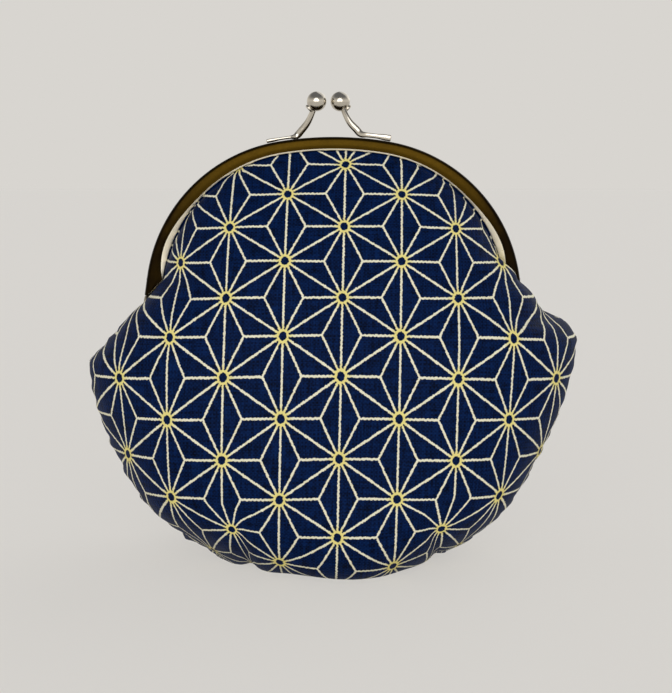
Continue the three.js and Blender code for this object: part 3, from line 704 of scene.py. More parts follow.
    def spilled(self):
        """Steps that bring the cloth out over the lower right leg: once a column has left the channel it
        first comes forward until it clears the leg, and then it moves sideways over it. Below, the same
        pull draws the slope over the right ear in."""
        form, cloth = self.form, self.form.cloth
        x, z, _, depth = self.face(0.0)
        over_hinge = z - form.hinge
        rise = smooth_step(cloth.spill_low, cloth.spill_full, over_hinge)
        fall = 1 - smooth_step(cloth.spill_fall, cloth.spill_high, over_hinge)
        near_edge = smooth_step(cloth.spill_reach, 0, form.half_width(z) - x)
        strength = rise * fall * near_edge * self.SPILLS
        out_of_channel = z[:1] - z
        in_front = form.far_face + form.metal.face_crown + cloth.cloth + cloth.spill_clear
        forward = np.maximum(in_front - depth, 0) * smooth_step(*self.FORWARD, out_of_channel)
        forward *= smooth_step(0, self.FORWARD_LEAD, strength)
        sideways = cloth.spill * strength * smooth_step(*self.SIDEWAYS, out_of_channel)
        below = np.abs(over_hinge + form.tilt(x, z) + cloth.draw_height)
        sideways -= cloth.draw * near_edge * smooth_step(cloth.draw_reach, 0, below)
        steps = np.stack([sideways, self.facing * forward, np.zeros_like(x)], axis=-1)
        return np.concatenate([np.zeros((self.TUCK_ROWS, self.COLUMNS, 3)), steps])

    def outward(self, points):
        """Unit directions square to a face of points, away from the inside of the purse."""
        down = np.gradient(points, axis=0)
        across = np.gradient(points, axis=1)
        return unit(np.cross(across, down) * -self.facing)

    def faces(self, near, far):
        """The outer and inner face of the panel. Cloth and lining share the folds of the outermost face."""
        outermost = self.points(0.0)
        x, z, base, _ = self.face(0.0)
        in_channel = np.zeros((self.TUCK_ROWS, self.COLUMNS))
        height = np.concatenate([in_channel, self.relief(outermost, x, z) * base])
        fold = self.outward(outermost) * height[..., None] + self.spilled()
        result = []
        for face in (self.points(near), self.points(far)):
            moved = face + fold
            low = face[..., 2] < self.form.cloth.belly_height
            lowest = np.minimum(face[..., 2], moved[..., 2].clip(0))
            moved[..., 2] = np.where(low, np.maximum(moved[..., 2], lowest), moved[..., 2])
            moved[..., 1] = self.facing * np.maximum(np.abs(moved[..., 1]), self.form.seam)
            result.append(moved)
        return result

    def print_places(self, inward):
        """Place of each point on the flat cloth. Up the cloth it is the length of the middle profile to the
        point's height, with rows that sag towards the ears. Across the cloth it is the length of the level
        section, which counts only part of the depth near an edge, and the spill's sideways step. Beyond a
        dart the cloth that it takes up is added, and beside it the cloth is drawn up."""
        form, cloth, printed = self.form, self.form.cloth, bpy.context.scene.purse_print
        x, z, base, _ = self.face(inward)
        heights = np.concatenate([
            cloth.belly_height * (1 - np.cos(np.linspace(0, math.pi / 2, self.PROFILE_STEPS))),
            np.linspace(cloth.belly_height, form.cloth_top, 3 * self.PROFILE_STEPS)[1:],
        ])
        length = running_length(np.stack([form.belly(heights), heights], axis=1))
        sag = printed.weft_sag * (x / cloth.ear_half_width) ** 2 * smooth_step(0, cloth.belly_height, z)
        level = z + form.tilt(x, z) + sag
        up = np.interp(level, heights, length) + np.maximum(level - heights[-1], 0)
        up -= (1 - base) * cloth.base_half_depth

        parts = 1 - (1 - np.linspace(0, 1, self.SECTION_STEPS + 1)) ** 2
        across = np.zeros_like(x)
        last_depth = form.depth(0 * x, z, inward)
        share_across = np.abs(x) / form.half_width(z, inward)
        for start, end in zip(parts[:-1], parts[1:]):
            depth = form.depth(x * end, z, inward)
            follows = lerp(1, printed.ease, smooth_step(printed.ease_start, 1, share_across * end))
            across += np.hypot(x * (end - start), follows * (depth - last_depth))
            last_depth = depth
        outside, fade = self.dart_places(x, z)
        across += cloth.dart_take * fade * smooth_step(-cloth.dart_width, cloth.dart_width, outside)
        across *= np.sign(x)
        across += self.spilled()[self.TUCK_ROWS :, :, 0]
        up -= cloth.dart_pull * fade * bell(outside, cloth.dart_pull_reach)
        up -= printed.row_drift * bell(z - printed.drift_height, printed.drift_reach)

        tucked = self.tuck_steps(inward)
        across = np.concatenate([across[:1] + tucked[..., 0], across])
        up = np.concatenate([up[:1] + tucked[..., 1], up]) - printed.star_up
        across -= printed.star_across + printed.warp_lean * up
        if self.facing > 0:
            across, up = across + printed.rear_shift, up + printed.rear_shift
        return np.stack([across, up], axis=-1)

    def turn_shares(self, inward):
        """How much of the opening each point follows: all of it in the channel, none at the side seam,
        and a long slow share down the middle of the belly. The lining turns a little ahead of the cloth,
        so that it stays inside the creases beside the hinges."""
        form, cloth = self.form, self.form.cloth
        x, z, _, _ = self.face(inward)
        across = np.clip(np.abs(x) / form.half_width(z, inward), 0, 1)
        low = lerp(cloth.crumple_low, form.slit - self.TURN_LEAD, across**2)
        high = lerp(z[:1], form.hinge + self.HINGE_CLEAR, across**4)
        turn = smooth_step(0, 1, (z - low) / np.maximum(high - low, MM))
        return np.concatenate([np.ones((self.TUCK_ROWS, self.COLUMNS)), turn])

    def area(self, points):
        """Area of a face of points."""
        a, b = points[1:, 1:] - points[:-1, :-1], points[1:, :-1] - points[:-1, 1:]
        return float(np.sum(np.linalg.norm(np.cross(a, b), axis=-1)) / 2)


class LiningPanel(ClothPanel):
    """The same panel with fewer points, for the lining, which stays behind the leg."""

    UPPER_ROWS = 34
    LOWER_ROWS = 60
    BASE_ROWS = 12
    COLUMNS = 110
    SPILLS = 0
    TURN_LEAD = 5 * MM


def linear(hex_code):
    """An sRGB hex value as linear red, green, blue and alpha."""
    parts = np.array([int(hex_code[place : place + 2], 16) for place in (1, 3, 5)]) / 255
    values = np.where(parts <= 0.04045, parts / 12.92, ((parts + 0.055) / 1.055) ** 2.4)
    return (*values.tolist(), 1.0)


def fill(tree, node, inputs):
    """Fills a node's inputs from other nodes' outputs or from values."""
    for socket, value in inputs.items():
        if isinstance(value, bpy.types.Node):
            value = value.outputs[0]
        if isinstance(value, bpy.types.NodeSocket):
            tree.links.new(value, node.inputs[socket])
        else:
            node.inputs[socket].default_value = value


def add_node(tree, kind, inputs, **settings):
    """Adds a node with its settings and inputs."""
    node = tree.nodes.new("ShaderNode" + kind)
    for setting, value in settings.items():
        setattr(node, setting, value)
    fill(tree, node, inputs)
    return node


def maths(tree, operation, *values, **settings):
    """A sum on one, two or three numbers."""
    return add_node(tree, "Math", dict(enumerate(values)), operation=operation, **settings)


def vector_maths(tree, operation, *values):
    """A sum on one, two or three vectors."""
    return add_node(tree, "VectorMath", dict(enumerate(values)), operation=operation)


def ranged(tree, value, low=0.0, high=1.0, start=0.0, end=1.0, **settings):
    """A number that goes from start to end while a value goes from low to high."""
    inputs = {"Value": value, "From Min": low, "From Max": high, "To Min": start, "To Max": end}
    return add_node(tree, "MapRange", inputs, **settings)


def mixed(tree, amount, first, second):
    """A colour between two others, which are outputs or hex values."""
    first, second = (linear(one) if isinstance(one, str) else one for one in (first, second))
    return add_node(tree, "Mix", {"Factor": amount, 6: first, 7: second}, data_type="RGBA").outputs[2]


def noise(tree, places, lump, detail, roughness=0.5):
    """Noise from 0 to 1 whose lumps are about one length across."""
    inputs = {"Vector": places, "Scale": 1 / lump, "Detail": detail, "Roughness": roughness}
    return add_node(tree, "TexNoise", inputs)


def bumped(tree, height, strength, distance):
    """Small relief of a surface."""
    return add_node(tree, "Bump", {"Strength": strength, "Distance": distance, "Height": height})


def new_material(name):
    """An empty material with its shader, and its node tree."""
    material = bpy.data.materials.new(name)
    material.use_nodes = True
    tree = material.node_tree
    return material, tree, tree.nodes["Principled BSDF"]


def woven(tree, places, thread):
    """Crossing threads: the product of two waves along and across the cloth, from -1 to 1."""
    turns = vector_maths(tree, "MULTIPLY", places, (math.pi / thread,) * 3)
    parts = add_node(tree, "SeparateXYZ", {0: turns})
    return maths(tree, "MULTIPLY", *(maths(tree, "SINE", parts.outputs[axis]) for axis in ("X", "Y")))


def slubby_threads(tree, places, thread):
    """Thick and thin stretches of the threads, from 0 to 1: two noises drawn out along and across the
    cloth, each about ten threads long, with their contrast raised."""
    short, long = 1 / thread, 0.1 / thread
    scales = ((short, long, 1), (long, short, 1))
    drawn_out = [vector_maths(tree, "MULTIPLY", places, scale) for scale in scales]
    noises = [noise(tree, one, lump=1.0, detail=2.0, roughness=0.6) for one in drawn_out]
    return ranged(tree, maths(tree, "ADD", *noises), low=0.7, high=1.3)


def cotton_threads(tree, printed, weave_share):
    """Places on the flat cloth, its weave, and the crests of its threads from 0 to 1."""
    places = add_node(tree, "UVMap", {}, uv_map="print")
    weave = woven(tree, places, printed.thread)
    slubs = slubby_threads(tree, places, printed.thread)
    return places, weave, maths(tree, "MULTIPLY_ADD", weave, weave_share, slubs, use_clamp=True)


def nearest_star(tree, places, printed):
    """Distance to the nearest star of the print and to the nearest line that leaves it, in row pitches.
    The cloth is cut into cells round the stars of two shifted grids. In a cell the lines leave the star
    every 30 degrees, so the distance to a line is the distance to the star times the sine of the angle
    to the nearest of those directions."""
    half_step = math.radians(30) / 2
    cells = vector_maths(tree, "MULTIPLY", places, (0.5 / printed.column, 1 / printed.row, 0))
    between = vector_maths(tree, "ADD", cells, (0.5, 0.5, 0))
    offsets, lengths = [], []
    for start in (cells, between):
        wrapped = vector_maths(tree, "WRAP", start, (0.5, 0.5, 0.5), (-0.5, -0.5, -0.5))
        offsets.append(vector_maths(tree, "MULTIPLY", wrapped, (math.sqrt(3), 1, 0)))
        lengths.append(vector_maths(tree, "LENGTH", offsets[-1]).outputs["Value"])
    nearer = maths(tree, "LESS_THAN", *lengths)
    offset = add_node(tree, "Mix", {"Factor": nearer, 4: offsets[1], 5: offsets[0]}, data_type="VECTOR")
    parts = add_node(tree, "SeparateXYZ", {0: offset.outputs[1]})
    radius = maths(tree, "MINIMUM", *lengths)
    bearing = maths(tree, "ARCTAN2", parts.outputs["Y"], parts.outputs["X"])
    folded = maths(tree, "WRAP", bearing, half_step, -half_step)
    aside = maths(tree, "ABSOLUTE", maths(tree, "SINE", folded))
    return radius, maths(tree, "MULTIPLY", radius, aside)


WEAVE_RAG = 0.12  # how far the weave shifts the ink's edges, against the noise
EDGE_RAG, EDGE_SOFT = 0.9, 0.12  # how ragged and how soft those edges are, in line widths


def hemp_leaf(tree, places, weave, printed):
    """Share of ink of the hemp-leaf print, and how near each place is to a star. Lines and rings are bands
    about the lines and stars, with edges that the weave and a fine noise make ragged."""
    pitch = printed.row
    radius, distance = nearest_star(tree, places, printed)
    rag = maths(tree, "SUBTRACT", noise(tree, places, printed.rag, detail=2.0), 0.5)
    rag = maths(tree, "MULTIPLY_ADD", weave, WEAVE_RAG, rag)
    rag = maths(tree, "MULTIPLY", rag, EDGE_RAG * printed.line / pitch)
    line_place = maths(tree, "ADD", distance, rag)
    dot_place = maths(tree, "ADD", radius, rag)

    soft = EDGE_SOFT * printed.line / pitch
    edges = ((line_place, printed.line / 2), (dot_place, printed.ring), (dot_place, printed.dot))
    line, ring, dot = (
        ranged(tree, place, reach / pitch - soft, reach / pitch + soft, 1, 0, interpolation_type="SMOOTHSTEP")
        for place, reach in edges
    )
    ink = maths(tree, "SUBTRACT", maths(tree, "MAXIMUM", line, ring), dot, use_clamp=True)
    return ink, ranged(tree, radius, printed.ring / pitch, 2 * printed.ring / pitch, 1, 0)


INK_HEIGHT = 0.3  # thickness of the ink, against the height of the threads


def printed_cotton(printed):
    """Navy cotton, plain woven and screen printed with opaque gold ink. The eye sees matt cloth with a
    fine weave and a soft bluish bloom, and satin lines that sit in the threads with ragged edges."""
    material, tree, shader = new_material("printed_navy_cotton")
    places, weave, crest = cotton_threads(tree, printed, weave_share=0.22)
    ink, near_star = hemp_leaf(tree, places, weave, printed)
    ground = mixed(tree, crest, printed.navy_shade, printed.navy)
    cover = ranged(tree, crest, high=0.35, start=0.55)
    thick = mixed(tree, near_star, printed.gold, printed.gold_star)
    gold = mixed(tree, cover, printed.gold_worn, thick)
    relief = maths(tree, "MULTIPLY_ADD", ink, INK_HEIGHT, crest)
    fill(tree, shader, {
        "Base Color": mixed(tree, ink, ground, gold),
        "Roughness": ranged(tree, ink, start=0.56, end=0.48),
        "Specular IOR Level": 0.04,
        "Sheen Weight": 0.02,
        "Sheen Roughness": 0.5,
        "Sheen Tint": linear(printed.bloom),
        "Normal": bumped(tree, relief, strength=0.6, distance=0.15 * MM),
    })
    return material


def plain_lining(printed):
    """Plain woven lining cotton, unprinted: matt, dark and even, with a faint thread pattern."""
    material, tree, shader = new_material("plain_lining_cotton")
    _, _, crest = cotton_threads(tree, printed, weave_share=0.3)
    fill(tree, shader, {
        "Base Color": mixed(tree, crest, printed.lining_shade, printed.lining_navy),
        "Roughness": 0.85,
        "Specular IOR Level": 0.1,
        "Sheen Weight": 0.04,
        "Normal": bumped(tree, crest, strength=0.35, distance=0.1 * MM),
    })
    return material


PATINA_CLOUDS = 0.5  # how far the patina changes from cloud to cloud
RUBBED_GLOSS = 0.04  # how much smoother rubbed brass is


def antique_brass(metal):
    """Brass plating that was darkened and then worn back by rubbing: warm brown-gold on the face, dark
    towards the outer edge from the darkened plating and painted shade, and near white on the lip from wear
    and a painted highlight, with clouds in the darkening and fine scuffs."""
    material, tree, shader = new_material("antique_brass_plating")
    place = add_node(tree, "TexCoord", {}).outputs["Object"]
    rubbed, shaded = (
        add_node(tree, "Attribute", {}, attribute_name=mark).outputs["Fac"] for mark in ("rubbed", "shaded")
    )
    cloudy = noise(tree, place, lump=6 * MM, detail=4.0, roughness=0.6)
    clouds = maths(tree, "MULTIPLY_ADD", cloudy, PATINA_CLOUDS, -PATINA_CLOUDS / 2)
    # Darkened plating plus painted shade towards the outer edge, on the lower legs and on the lugs, in clouds
    patina_and_painted_shade = maths(tree, "ADD", shaded, clouds, use_clamp=True)
    face = mixed(tree, patina_and_painted_shade, metal.brass, metal.brass_dark)
    grain = noise(tree, place, lump=0.5 * MM, detail=2.0)
    scuffs = ranged(tree, grain, start=0.26, end=0.44)
    fill(tree, shader, {
        # The lip turns near white: wear from rubbing, with a painted highlight
        "Base Color": mixed(tree, rubbed, face, metal.brass_rubbed),
        "Metallic": 1.0,
        "Roughness": maths(tree, "MULTIPLY_ADD", rubbed, -RUBBED_GLOSS, scuffs),
        "Normal": bumped(tree, grain, strength=0.05, distance=0.05 * MM),
    })
    return material


def bright_nickel(metal):
    """Nickel plating over a bent and soldered arm: a warm mirror with faint smears and polishing marks."""
    material, tree, shader = new_material("bright_nickel_plating")
    place = add_node(tree, "TexCoord", {}).outputs["Object"]
    smears = noise(tree, place, lump=2.5 * MM, detail=3.0)
    marks = noise(tree, place, lump=0.35 * MM, detail=2.0)
    fill(tree, shader, {
        "Base Color": mixed(tree, smears, metal.nickel, metal.nickel_smear),
        "Metallic": 1.0,
        "Roughness": ranged(tree, smears, start=0.08, end=0.26),
        "Normal": bumped(tree, marks, strength=0.06, distance=0.04 * MM),
    })
    return material


def kraft_paper(printed):
    """Twisted kraft paper: dull tan and fibrous, with darker flecks between the fibres."""
    material, tree, shader = new_material("twisted_kraft_paper")
    place = add_node(tree, "TexCoord", {}).outputs["Object"]
    fibres = noise(tree, place, lump=0.6 * MM, detail=4.0, roughness=0.7)
    fill(tree, shader, {
        "Base Color": mixed(tree, fibres, printed.kraft_shade, printed.kraft),
        "Roughness": 0.9,
        "Normal": bumped(tree, fibres, strength=0.4, distance=0.08 * MM),
    })
    return material


def make_panels(form, panel_kind, word, faces, material):
    """Makes the front and rear panels of a layer of cloth, whose faces lie this far in from the outside."""
    for half, facing in HALVES.items():
        panel = panel_kind(form, facing)
        outer, inner = panel.faces(*faces)
        shell = sheet_shell(outer, inner, print=panel.print_places(faces[0]))
        piece = make_piece(f"{half}_{word}", [shell], material)
        turns = panel.turn_shares(faces[0])
        turns = np.concatenate([turns, turns[:, ::-1]], axis=1)
        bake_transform(piece)
        width = float(running_length(outer.transpose(1, 0, 2))[-1].max())
        area = panel.area(outer)
        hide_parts(f"{half}_{word}_upper", f"{half}_{word}_lower")


class PURSE_OT_cloth(bpy.types.Operator):
    """Makes the front and rear panels of printed cloth"""

    bl_idname = "purse.cloth"
    bl_label = "Printed cloth"

    def execute(self, context):
        form = PurseForm(context.scene)
        material = printed_cotton(context.scene.purse_print)
        faces = (0.0, form.cloth.cloth)
        make_panels(form, ClothPanel, "cloth", faces, material)
        return {"FINISHED"}


class PURSE_OT_lining(bpy.types.Operator):
    """Makes the front and rear panels of plain lining"""

    bl_idname = "purse.lining"
    bl_label = "Lining"

    def execute(self, context):
        form = PurseForm(context.scene)
        material = plain_lining(context.scene.purse_print)
        faces = (form.lining_start, form.lining_end)
        make_panels(form, LiningPanel, "lining", faces, material)
        return {"FINISHED"}


FRAME_COUNT, CORNER_COUNT, LUG_COUNT = 260, 13, 120  # points along a half, a corner and a lug
LIP_CREASE = 0.02 * MM  # sharp crease behind the bevel of the lip
LIP_ROUND = 0.12 * MM  # rounding of the lip
LEAST_BEVEL = 0.15 * MM
BEVEL_RUNOUT = 0.4  # power by which the bevel runs out beside the cloth
LEAST_SLANT = 0.5  # keeps the cut beside the cloth short where the arch runs level
# Darkness of the face, its corner, the outer edge and the back: darkened plating with painted shade growing
# outwards
FACE_DARK, CORNER_DARK, EDGE_DARK, BACK_DARK = 0.15, 0.35, 0.7, 0.6
FRAME_SHARP = math.radians(10)  # creases from this angle on stay sharp
LUG_ARC = np.radians(np.linspace(130, 342, 40))
LUG_LAYERS = ((0, 0.94), (0.15, 1), (0.85, 1), (1, 0.94))  # shares of its thickness and of its outline
# Darkness of the lugs: darkened plating with painted shade like that of the lower legs
LUG_DARK = 0.85


def channel_rings(form, facing, count):
    """Section of a frame half carried along the arch: a folded channel, open towards the inside, with a
    slightly crowned face that ends in a bevelled lip. Near the hinge the face is cut along the edge of
    the cloth. Marks on its points say where it is worn bright, with a painted highlight on the lip, and how
    dark it is, from darkened plating and from painted shade towards the outer edge and on the lower legs."""
    metal = form.metal
    end_z = form.hinge + metal.channel_end
    edge = form.outer_arch.path(end_z, count)
    inward = form.lip_arch.path(end_z, count) - edge
    face = np.linalg.norm(inward, axis=1)
    inward = unit(inward)
    x, z = np.abs(edge[:, 0]), edge[:, 1]
    slant = np.maximum(np.abs(inward[:, 0]), LEAST_SLANT)
    beside_cloth = (x - form.half_width(z) - form.cloth.layer_gap) / slant
    lip = np.where(z < form.exit_height, np.minimum(face, beside_cloth), face)
    over_hinge = z - form.hinge
    narrowing = smooth_step(metal.bevel_low, metal.bevel_high, over_hinge)
    runout = smooth_step(form.cloth.cloth_exit, metal.bevel_low, over_hinge) ** BEVEL_RUNOUT
    bevel = np.maximum(lerp(metal.bevel_at_leg, metal.bevel_at_top, narrowing) * runout, LEAST_BEVEL)
    # Painted shade on the lower legs: full where the cloth leaves the channel, gone a reach above
    painted_leg_shade = 1 - smooth_step(form.exit_height, form.exit_height + metal.leg_painted_shade_reach, z)

    wall, corner, near, far = metal.channel_wall, metal.channel_round, form.near_face, form.far_face
    drop = metal.bevel_slope * bevel
    crease = lip - bevel
    swells = [(part, metal.face_crown * math.sin(math.pi * part)) for part in (0.25, 0.5, 0.75)]
    turns = np.linspace(0, math.pi / 2, CORNER_COUNT)
    corner_steps = list(zip(corner * (1 - np.sin(turns)), corner * (1 - np.cos(turns)), np.sin(turns)))
    # Each point of the section: its distance in from the edge, its depth, how worn and highlit it is
    # (painted highlight on the lip) and how dark it is (darkened plating and painted shade)
    profile = [
        (crease - LIP_CREASE, far, 0.0, FACE_DARK),
        *(
            (lerp(crease, corner, part), far + swell, 0.0, lerp(FACE_DARK, CORNER_DARK, part))
            for part, swell in swells
        ),
        *((out, far - back, 0.0, lerp(CORNER_DARK, EDGE_DARK, sine)) for out, back, sine in corner_steps),
        *((back, near + out, 0.0, BACK_DARK) for out, back, _ in corner_steps),
        (face, near, 0.0, 0.4),
        (face, near + wall, 0.2, 0.3),
        (wall, near + wall, 0.0, 0.9),
        (wall, far - wall, 0.0, 0.9),
        (lip, far - wall, 0.6, 0.2),
        (lip, far - drop - LIP_ROUND, 1.0, 0.0),
        (lip - LIP_ROUND, far - drop, 1.0, 0.0),
        (crease, far, 1.0, 0.0),
    ]
    one = np.ones(count)
    rings, rubbed, shaded = [], [], []
    for distance, depth, bare, dark in profile:
        spot = edge + inward * (distance * one)[:, None]
        rings.append(np.stack([spot[:, 0], facing * depth * one, spot[:, 1]], axis=1))
        rubbed.append(bare * one)
        shaded.append(np.clip(dark + metal.leg_painted_shade * painted_leg_shade, 0, 1))
    return [np.stack(marks, axis=1) for marks in (rings, rubbed, shaded)]


def lug_rings(form, facing, side, outer):
    """Flat lug with a round end about the hinge axis: its outline, drawn in a little at both faces."""
    metal = form.metal
    top = metal.channel_end + metal.lug_overlap
    outline = np.concatenate([
        [(metal.lug_reach, top), (form.near_face, top), (form.near_face, metal.lug_neck)],
        circle(LUG_ARC, metal.lug_radius),
        [(metal.lug_reach, metal.lug_radius)],
    ])
    outline = evenly(np.concatenate([outline, outline[:1]]), LUG_COUNT)[:-1]
    middle = outline.mean(axis=0)
    inset = metal.lug_inset + (0 if outer else metal.lug_thickness + form.cloth.layer_gap)
    start = metal.hinge_span / 2 - inset - metal.lug_thickness
    rings = []
    for depth, drawn in LUG_LAYERS:
        ring = middle + (outline - middle) * drawn
        across = np.full(len(ring), side * (start + depth * metal.lug_thickness))
        rings.append(np.stack([across, facing * ring[:, 0], form.hinge + ring[:, 1]], axis=1))
    return np.stack(rings)


class PURSE_OT_frame_halves(bpy.types.Operator):
    """Makes the two arched channels with their hinge lugs"""

    bl_idname = "purse.frame_halves"
    bl_label = "Frame halves"

    def execute(self, context):
        form = PurseForm(context.scene)
        material = antique_brass(form.metal)
        for half, facing in HALVES.items():
            rings, rubbed, shaded = channel_rings(form, facing, FRAME_COUNT)
            shells = [swept(rings, rubbed=rubbed, shaded=shaded)]
            for side in (-1, 1):
                lug = lug_rings(form, facing, side, half == "front")
                plain = np.zeros(lug.shape[:2])
                shells.append(swept(lug, rubbed=plain, shaded=plain + LUG_DARK))
            piece = make_piece(f"{half}_frame_half", shells, material, sharp=FRAME_SHARP)
            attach(piece, f"{half}_half")
            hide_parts(f"{half}_frame")
        return {"FINISHED"}


RIVET_TAIL = ((0.2, 0), (0.78, 0), (0.83, 0.1), (0.83, 0.38), (0.45, 0.42))  # out and along, in radii
RIVET_SHANK, RIVET_DOME, RIVET_CREASE = 0.45, 0.5, 0.05  # in radii
RIVET_WEAR = 0.25  # how rubbed and how dark a rivet is
RIVET_SIDES, DOME_COUNT = 48, 12  # points around a rivet and over its dome


def rivet_shell(form, side, ends, radius):
    """Rivet turned about the hinge axis: a flat tail, a plain shank and a domed head."""
    tail, head = ends
    rim = head - RIVET_DOME * radius
    dome = np.linspace(0, math.pi / 2, DOME_COUNT)[:-1]
    profile = np.concatenate([
        np.array(RIVET_TAIL) * radius + (0, tail),
        [(RIVET_SHANK * radius, rim - RIVET_CREASE * radius)],
        circle(dome, radius) * (1, RIVET_DOME) + (0, rim),
    ])
    around = full_turn(RIVET_SIDES)
    rings = np.stack([
        np.repeat(side * profile[:, 1:], len(around), axis=1),
        profile[:, :1] * np.cos(around),
        form.hinge + profile[:, :1] * np.sin(around),
    ], axis=-1)
    worn = np.full(rings.shape[:2], RIVET_WEAR)
    return swept(rings, rubbed=worn, shaded=worn)


class PURSE_OT_rivets(bpy.types.Operator):
    """Makes the hinge rivets"""

    bl_idname = "purse.rivets"
    bl_label = "Hinge rivets"

    def execute(self, context):
        form = PurseForm(context.scene)
        material = antique_brass(form.metal)
        for side, word in ((-1, "left"), (1, "right")):
            low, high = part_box(f"{word}_hinge_rivet")
            ends = sorted((abs(low.x), abs(high.x)))
            radius = (high.z - low.z) / 2
            piece = make_piece(f"{word}_rivet", [rivet_shell(form, side, ends, radius)], material)
            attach(piece, "rear_half")
            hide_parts(f"{word}_hinge_rivet")
        return {"FINISHED"}


ARM_SHARP = math.radians(50)  # creases from this angle on stay sharp
FOOT_COUNT, BEND_COUNT, ARM_COUNT = 40, 90, 150  # points along a foot, the rest of an arm, and both
ARM_SIDES, BALL_SIDES = 28, 56  # points around an arm and a ball
BEND_START = (0.3, 0.1)  # first point of the bend: along and up, in bend sizes
BEND_END = (1.3, 1.0)  # second point of the bend
BEND_INSIDE = 0.7  # depth of the second point, from the arm's depth to the foot's
FOOT_TO_ARM = (0.8, 1.2)  # shares of the foot's length over which it turns into the arm
HEEL_TO_FOOT = (0.2, 0.5)  # shares of that length over which the heel turns into the foot
END_ROUND, END_LEAST = 0.3, 0.05  # rounding of the foot's end in arm radii, and its least share
FOOT_POWER, ARM_POWER = 5.0, 2.0  # sections: a rounded box, and a circle
BALL_SWEEP = np.radians(np.linspace(4, 158, 44))
BALL_COLLAR = ((0.42, 0.97), (0.44, 1.08), (0.4, 1.16), (0.28, 1.2))  # out and along, in radii


def tube_rings(path, half_width, half_height, roundness, sides):
    """Sections carried along a path: a rounded box that turns into a circle as its power falls to 2."""
    along = unit(np.gradient(path, axis=0))
    aside = np.cross(along, np.array([0, 0, 1.0]))
    weak = np.linalg.norm(aside, axis=1, keepdims=True) < 1e-6
    aside = unit(np.where(weak, np.array([0, 1.0, 0]), aside))
    aside *= np.sign(aside[:, 1:2] + TINY)
    upright = np.cross(aside, along)
    power = 2 / roundness[:, None]
    cosine, sine = (np.sign(part) * np.abs(part) ** power for part in circle(full_turn(sides), 1).T)
    return (
        path[:, None]
        + aside[:, None] * (half_width[:, None] * cosine)[..., None]
        + upright[:, None] * (half_height[:, None] * sine)[..., None]
    )


def clasp_arm_shell(form, half, facing):
    """Foot along the crown that turns into a round arm and rises to its ball, as one tube whose section
    changes from a rounded box to a circle and tapers towards the ball."""
    metal = form.metal
    arch = form.outer_arch

    def over_crown(distance, rise, depth):
        """Points at distances along the crown from the middle of the clasp."""
        across = metal.clasp_offset - facing * np.array(distance)
        height = arch.crown_z + np.sqrt(arch.crown**2 - across**2) + rise
        return np.stack([across, np.full_like(across, facing * depth), height], axis=-1)

    ball, _ = middle_of(f"{half}_clasp_ball")
    thin = 1.0 if half == "front" else metal.rear_foot
    foot_height, foot_heel = thin * metal.foot_height, thin * metal.foot_heel
    foot_depth = (form.near_face + form.far_face) / 2
    lift = metal.foot_gap + foot_height / 2
    bend = metal.arm_bend
    foot = over_crown(np.linspace(metal.foot_end, metal.foot_start + bend, FOOT_COUNT), lift, foot_depth)
    bend_depth = lerp(metal.arm_depth, foot_depth, BEND_INSIDE)
    start, rise = (
        over_crown(metal.foot_start - along * bend, lift + up * bend, depth)
        for (along, up), depth in ((BEND_START, foot_depth), (BEND_END, bend_depth))
    )
    turn = over_crown(metal.arm_shoulder, metal.arm_rise, metal.arm_depth)
    arm_path = spline([foot[-1], start, rise, turn, ball], BEND_COUNT)
    path = evenly(np.concatenate([foot[:-1], arm_path]), ARM_COUNT)
    length = running_length(path)
    foot_length = metal.foot_end - metal.foot_start
    arm = smooth_step(*FOOT_TO_ARM, length / foot_length)
    heel = 1 - smooth_step(*HEEL_TO_FOOT, length / foot_length)
    from_end = np.clip(length / (END_ROUND * metal.arm_radius), 0, 1)
    end = np.sqrt(np.clip(1 - (1 - from_end) ** 2, END_LEAST, 1))
    taper = lerp(metal.arm_width, metal.arm_tip, smooth_step(foot_length, length[-1], length)) / 2
    half_width = lerp(metal.foot_width / 2, metal.arm_radius, arm) * end
    half_height = lerp(lerp(foot_height, foot_heel, heel) / 2, taper, arm) * end
    return swept(tube_rings(path, half_width, half_height, lerp(FOOT_POWER, ARM_POWER, arm), ARM_SIDES))


def clasp_ball_shell(half):
    """Ball with a short collar where its arm enters: a circle turned about the arm's own direction."""
    centre, radius = middle_of(f"{half}_clasp_ball")
    arm, _ = middle_of(f"{half}_clasp_arm")
    axis = unit((arm - centre) * (1, 0, 1))
    upright = np.array([0, 1.0, 0])
    aside = np.cross(axis, upright)
    ball = np.stack([np.sin(BALL_SWEEP), -np.cos(BALL_SWEEP)], axis=1)
    profile = np.concatenate([ball, BALL_COLLAR]) * radius
    spokes = circle(full_turn(BALL_SIDES), 1) @ np.stack([aside, upright])
    return swept(centre + profile[:, None, :1] * spokes[None] + profile[:, None, 1:] * axis)


class PURSE_OT_clasp(bpy.types.Operator):
    """Makes the two clasp arms and their balls"""

    bl_idname = "purse.clasp"
    bl_label = "Ball clasp"

    def execute(self, context):
        form = PurseForm(context.scene)
        material = bright_nickel(form.metal)
        for half, facing in HALVES.items():
            arm_shell = clasp_arm_shell(form, half, facing)
            arm = make_piece(f"{half}_arm", [arm_shell], material, sharp=ARM_SHARP)
            ball = make_piece(f"{half}_ball", [clasp_ball_shell(half)], material)
            for piece, node in ((arm, "clasp_arm"), (ball, "clasp_ball")):
                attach(piece, f"{half}_half")
                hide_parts(f"{half}_{node}")
        return {"FINISHED"}


STRING_COUNT, STRING_SIDES = 420, 16  # points along a paper string and around it
STRING_TWIST = 4 * MM  # length of one turn of the paper
STRING_LOBES = 0.14  # height of its two lobes, as a share of its radius


